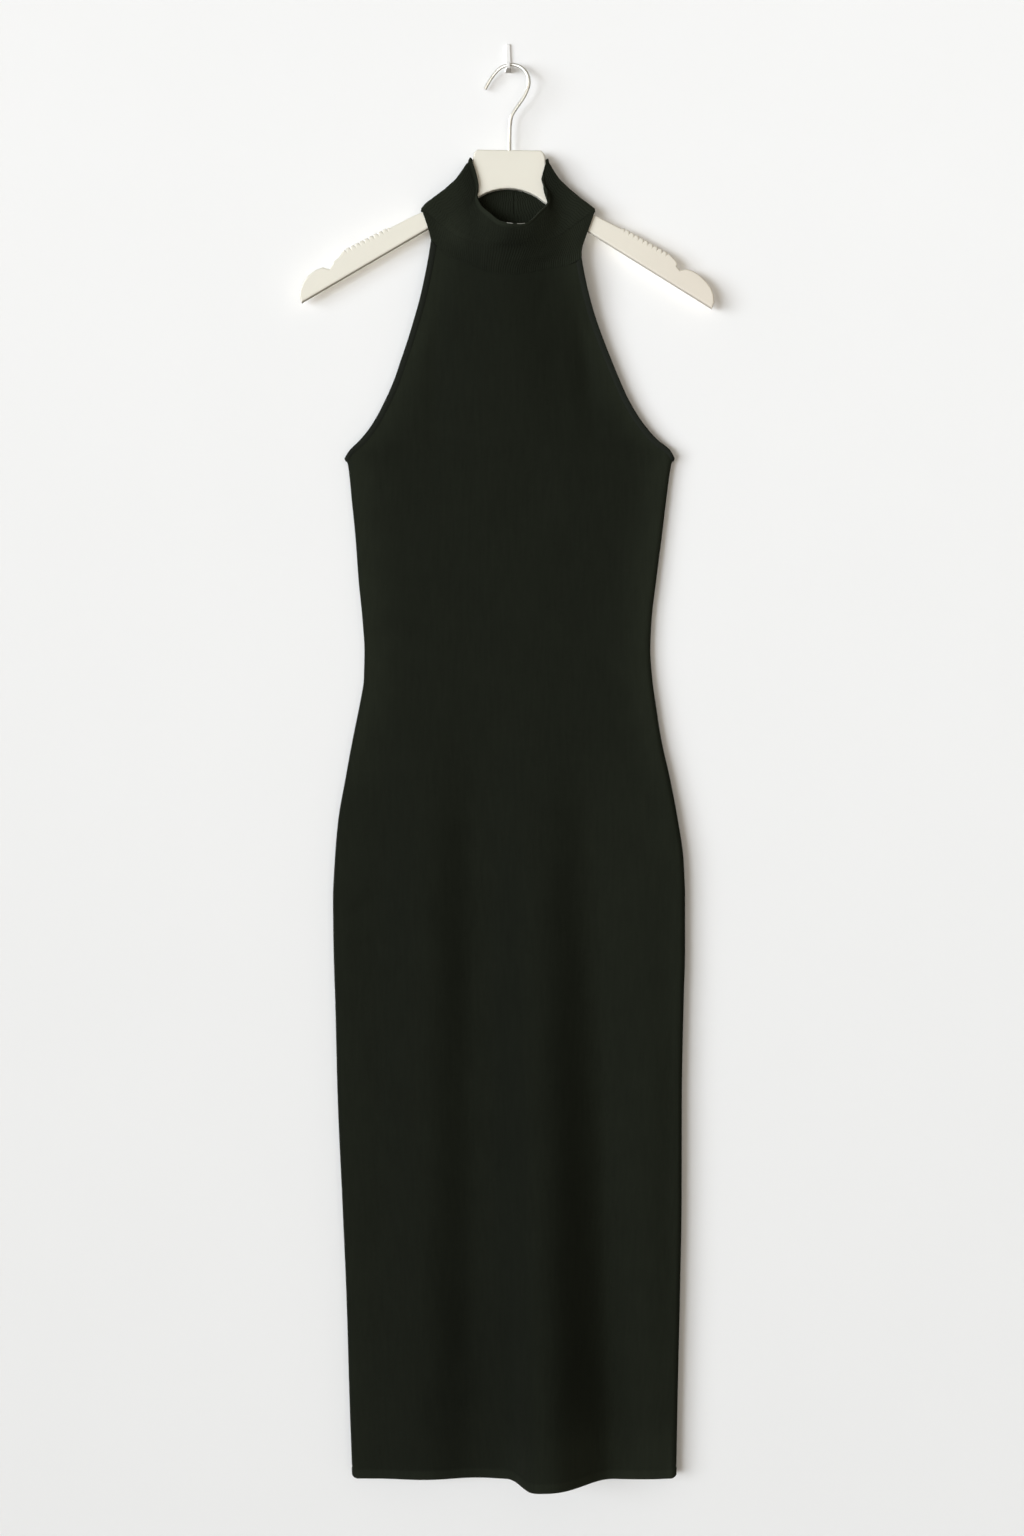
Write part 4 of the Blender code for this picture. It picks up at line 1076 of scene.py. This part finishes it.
def room_look():
    """Pale paint for the rest of the room, which glows a little, and is seen from the inside alone."""
    look = Look("room_paint")
    mottle = look.noise(look.where(), scale=5.0, detail=4.0, roughness=0.55)
    look.give("Base Color", look.tint(ROOM_COLOUR, look.between(mottle, 0.98, 1.0)))
    look.give("Roughness", 0.9)
    look.give("Emission Color", ROOM_GLOW_COLOUR)
    look.give("Emission Strength", ROOM_GLOW)
    look.clear_from_behind()
    return look.material


def show(piece, node):
    """Puts a piece in the body, in place of its CAD node."""
    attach(piece, "root")
    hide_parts(node)
    return piece


def panel_painted_light_and_shade(across, below, to_hem):
    """Painted light and shade of a panel at each place, and its paler band at the hem."""
    # Painted light at the left and right edges, and the paler band at the hem
    painted_light_and_shade = painted_edge_light(across, below) + HEM_PALE * ramp(to_hem, *HEM_PALE_RAMP)
    # Painted shade, darker downwards as the light falls off
    painted_light_and_shade = painted_light_and_shade - PAINTED_SHADE_DOWNWARDS * ramp(below, *DOWN_RAMP)
    # Painted light on the skirt's right, on the hem's right and on the main fold's right near the hem
    painted_light_and_shade = painted_light_and_shade + RIGHT_PAINTED_LIGHT * ramp(across, *RIGHT_RAMP) * ramp(below, *RIGHT_BELOW_RAMP)
    painted_light_and_shade = painted_light_and_shade + HEM_RIGHT_PAINTED_LIGHT * ramp(across, *HEM_RIGHT_RAMP) * ramp(to_hem, *HEM_RIGHT_UP_RAMP)
    painted_light_and_shade = painted_light_and_shade + bell(across, *HEM_FLANK_PAINTED_LIGHT) * ramp(to_hem, *HEM_FLANK_UP_RAMP)
    # Painted shade low on the left of the skirt
    return painted_light_and_shade - LOW_LEFT_PAINTED_SHADE * patch(across, below, *LOW_LEFT_SHADE_PATCH)


def make_panel(for_back, look):
    grid = panel_grid(for_back)
    points, quads, _ = joined([grid])
    if for_back:
        quads = quads[:, ::-1]
    across, _, below = grid.reshape(-1, 3).T
    to_hem = HEM_BELOW - below
    hem_band = HEM_BAND_HEIGHT * ramp(to_hem, *HEM_BAND_RAMP)
    grooves = bell(to_hem, *HEM_GROOVE) + bell(below - seam_below(across, for_back), *PANEL_SEAM_GROOVE)
    relief = hem_band - HEM_EDGE_DROP * ramp(to_hem, *HEM_EDGE_RAMP) + grooves
    name, node = ("dress_back", "back_panel") if for_back else ("dress_front", "front_panel")
    panel = cloth(
        name, look, points, quads, lengths_along(grid).reshape(-1, 2), WALL, (relief, hem_band),
        seam=np.arange(len(points)) < grid.shape[1], painted_light_and_shade=panel_painted_light_and_shade(across, below, to_hem),
    )
    return show(panel, node)


def make_collar(look):
    """The collar: ribs, the rolled rim, the seam inside its back, painted glints on the rim, and painted
    light and shade.
    """
    front, back = collar_grids()
    points, quads, tables = joined([front, back])
    count = len(points)
    relief, inner, glint, painted_light_and_shade = np.zeros((4, count))
    lengths = np.zeros((count, 2))
    painted_shading = np.zeros((count, 3))
    seam = np.zeros(count, bool)
    start = 0.0
    for grid, table in zip((front, back), tables):
        rows, columns = table.shape
        across, depth, below = np.moveaxis(grid, -1, 0)
        rib = 0.5 - 0.5 * np.cos(2 * math.pi * np.arange(columns) / POINTS_PER_RIB)
        down = travelled(grid)
        to_seam = down[-1] - down
        in_roll = np.clip(RIM_ROLL_LENGTH - down, 0, RIM_ROLL_LENGTH)
        rim_roll = RIM_ROLL_HEIGHT * rounding(in_roll, RIM_ROLL_LENGTH) * (down < RIM_ROLL_LENGTH)
        ribbed = ramp(down, *RIBS_RAMP) * RIB_HEIGHT
        relief[table] = (
            ribbed * rib[None, :] + rim_roll + bell(down, *RIM_GROOVE) + bell(to_seam, *COLLAR_SEAM_GROOVE)
        )
        inner[table] = RIB_INSIDE_SHARE * ribbed * rib[None, :] + RIM_ROLL_INSIDE_SHARE * rim_roll
        # Painted light on the collar's sides and painted shade in its middle
        to_side = ramp(np.abs(across - COLLAR_MIDDLE), *COLLAR_SIDE_RAMP)
        collar_painted_light_and_shade = COLLAR_MIDDLE_PAINTED_SHADE + (COLLAR_SIDE_PAINTED_LIGHT - COLLAR_MIDDLE_PAINTED_SHADE) * to_side
        # Painted shadow under the collar's forward drape
        collar_painted_light_and_shade = collar_painted_light_and_shade - DRAPE_PAINTED_SHADOW * patch(across, below, *DRAPE_SHADOW_PATCH)
        # Painted highlight along the front's rolled rim
        collar_painted_light_and_shade = collar_painted_light_and_shade + RIM_PAINTED_HIGHLIGHT * ramp(down, *RIM_HIGHLIGHT_RAMP) * (grid is front)
        # Near the seam the collar takes the panel's knit colour and painted edge light, with painted light
        # added
        seam_painted_light = (1 + painted_edge_light(across, below) + COLLAR_SEAM_PAINTED_LIGHT) * KNIT_COLOUR[1] / RIB_COLOUR[1] - 1
        mix = eased(to_seam / SEAM_BLEND_LENGTH)
        painted_light_and_shade[table] = collar_painted_light_and_shade * mix + seam_painted_light * (1 - mix)
        mix = mix[..., None]
        # Painted shading by lean, blended from the panel's at the seam to the collar's above it
        painted_shading[table] = np.array(COLLAR_LEAN_SHADING) * mix + np.array(PANEL_LEAN_SHADING) * (1 - mix)
        if grid is back:
            from_seam = across - BACK_SEAM_ACROSS
            inner[table] += bell(np.abs(from_seam), *BACK_SEAM_RIDGES) + bell(from_seam, *BACK_SEAM_GROOVE)
        else:
            # Painted glints: pale highlights painted on the front rim
            at_rim = (down < GLINT_WIDTH) & (depth > GLINT_LEAST_DEPTH)
            for left_end, right_end in GLINT_SPANS:
                in_glint = (across - left_end) * (right_end - across) > 0
                glint[table] = np.maximum(glint[table], in_glint & at_rim)
        width = travelled(grid[rows // 2])[-1]
        place_across = start + np.linspace(0, width, columns)
        lengths[table] = np.stack([np.repeat(place_across[None, :], rows, axis=0), down], axis=-1)
        seam[table[-1]] = True
        start += width
    collar = cloth(
        "dress_collar", look, points, quads, lengths, COLLAR_WALL, (relief, inner), seam=seam, glint=glint,
        painted_light_and_shade=painted_light_and_shade, painted_shading=painted_shading, inside_painted_light=COLLAR_INSIDE_PAINTED_LIGHT,
    )
    return show(collar, "collar")


def make_trim(side, look):
    grid = trim_grid(side)
    points, quads, _ = joined([grid])
    if side > 0:
        quads = quads[:, ::-1]
    along = travelled(grid[:, TRIM_COLUMNS // 2])
    share = np.linspace(0, 1, TRIM_COLUMNS)
    lengths = np.stack(np.broadcast_arrays(share[None, :] * TRIM_WIDTH, along[:, None]), axis=-1)
    bent = 2 * np.clip(share, 0, TRIM_CROWN_SHARE) / TRIM_CROWN_SHARE - 1
    crown = TRIM_CROWN_HEIGHT * np.sqrt(np.clip(1 - bent**2, 0, 1)) + TRIM_HEIGHT
    crown = np.where(share > TRIM_CROWN_SHARE, TRIM_INNER_EDGE_HEIGHT, crown)
    relief = np.repeat(crown[None, :], len(grid), axis=0).ravel()
    name = "trim_left" if side < 0 else "trim_right"
    reliefs = (relief, TRIM_INSIDE_SHARE * relief)
    trim = cloth(name, look, points, quads, lengths.reshape(-1, 2), TRIM_WALL, reliefs, painted_shading=TRIM_LEAN_SHADING)
    return show(trim, "armhole_" + name)


def plane(name, corners, look):
    """A flat plane of the stage, which throws no shadow and no light onto the object."""
    mesh = bpy.data.meshes.new(name)
    mesh.from_pydata(corners, [], [(0, 1, 2, 3)])
    mesh.materials.append(look)
    made = added(name, mesh)
    made.visible_diffuse = False
    made.visible_glossy = False
    made.visible_shadow = False


def make_stage():
    """A wall behind the object, and the floor and the other walls of a pale room, seen in other views."""
    ends = ((-ROOM_REACH, ROOM_REACH), (-2 * ROOM_REACH, 2 * ROOM_REACH), (ROOM_FLOOR, ROOM_TOP))
    wall = ((0, 0), (1, 0), (1, 1), (0, 1))
    plane("wall", [(ends[0][x], WALL_BEHIND, ends[2][z]) for x, z in wall], wall_look())
    room = room_look()
    for name, corners in ROOM_PLANES.items():
        plane(name, [tuple(ends[k][int(corner[k])] for k in range(3)) for corner in corners], room)


def distant_light(name, towards, strength, spread, colour):
    """Even light from far away, from a disc that looks spread degrees wide."""
    lamp = bpy.data.lights.new(name, "SUN")
    lamp.energy = strength
    lamp.angle = math.radians(spread)
    lamp.color = colour
    added(name, lamp).rotation_euler = Vector(towards).to_track_quat("-Z", "Y").to_euler()


def make_lights():
    world = bpy.data.worlds.new("studio")
    bpy.context.scene.world = world
    world.use_nodes = True
    background = world.node_tree.nodes["Background"]
    background.inputs["Color"].default_value = (*LAMPLIGHT, 1.0)
    background.inputs["Strength"].default_value = LAMPLIGHT_STRENGTH
    for light in LIGHTS:
        distant_light(*light)


def make_camera():
    data = bpy.data.cameras.new("camera")
    camera = added("camera", data)
    data.sensor_width = SENSOR
    data.lens = SENSOR * CAMERA_DISTANCE / (PHOTO_HEIGHT * PIXEL)
    camera.location = placed((CAMERA_ACROSS, REFERENCE_DEPTH + CAMERA_DISTANCE, CAMERA_BELOW))
    camera.rotation_euler = (math.pi / 2, 0, 0)
    bpy.context.scene.camera = camera
    bpy.context.scene.view_settings.view_transform = "Standard"


def main():
    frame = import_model()
    nodes = frame["nodes"]

    knit = knit_look("fine_knit_black", KNIT_COLOUR, wale=1.5, course=1.2, sheen=0.02, depth=0.16)
    rib = knit_look("rib_knit_black", RIB_COLOUR, wale=1.45, course=1.2, sheen=0.02, depth=0.12)
    band = knit_look("band_knit_black", BAND_COLOUR, wale=1.3, course=1.0, sheen=0.04, depth=0.14)
    front = make_panel(False, knit)
    back = make_panel(True, knit)
    collar = make_collar(rib)
    trims = [make_trim(side, band) for side in (-1, 1)]

    for name, look in (
        ("hanger_board", board_look()),
        ("hanger_hook", wire_look()),
        ("wall_hook", hook_look()),
    ):
        nodes[name].data.materials.clear()
        nodes[name].data.materials.append(look)

    make_stage()
    make_lights()
    make_camera()


main()
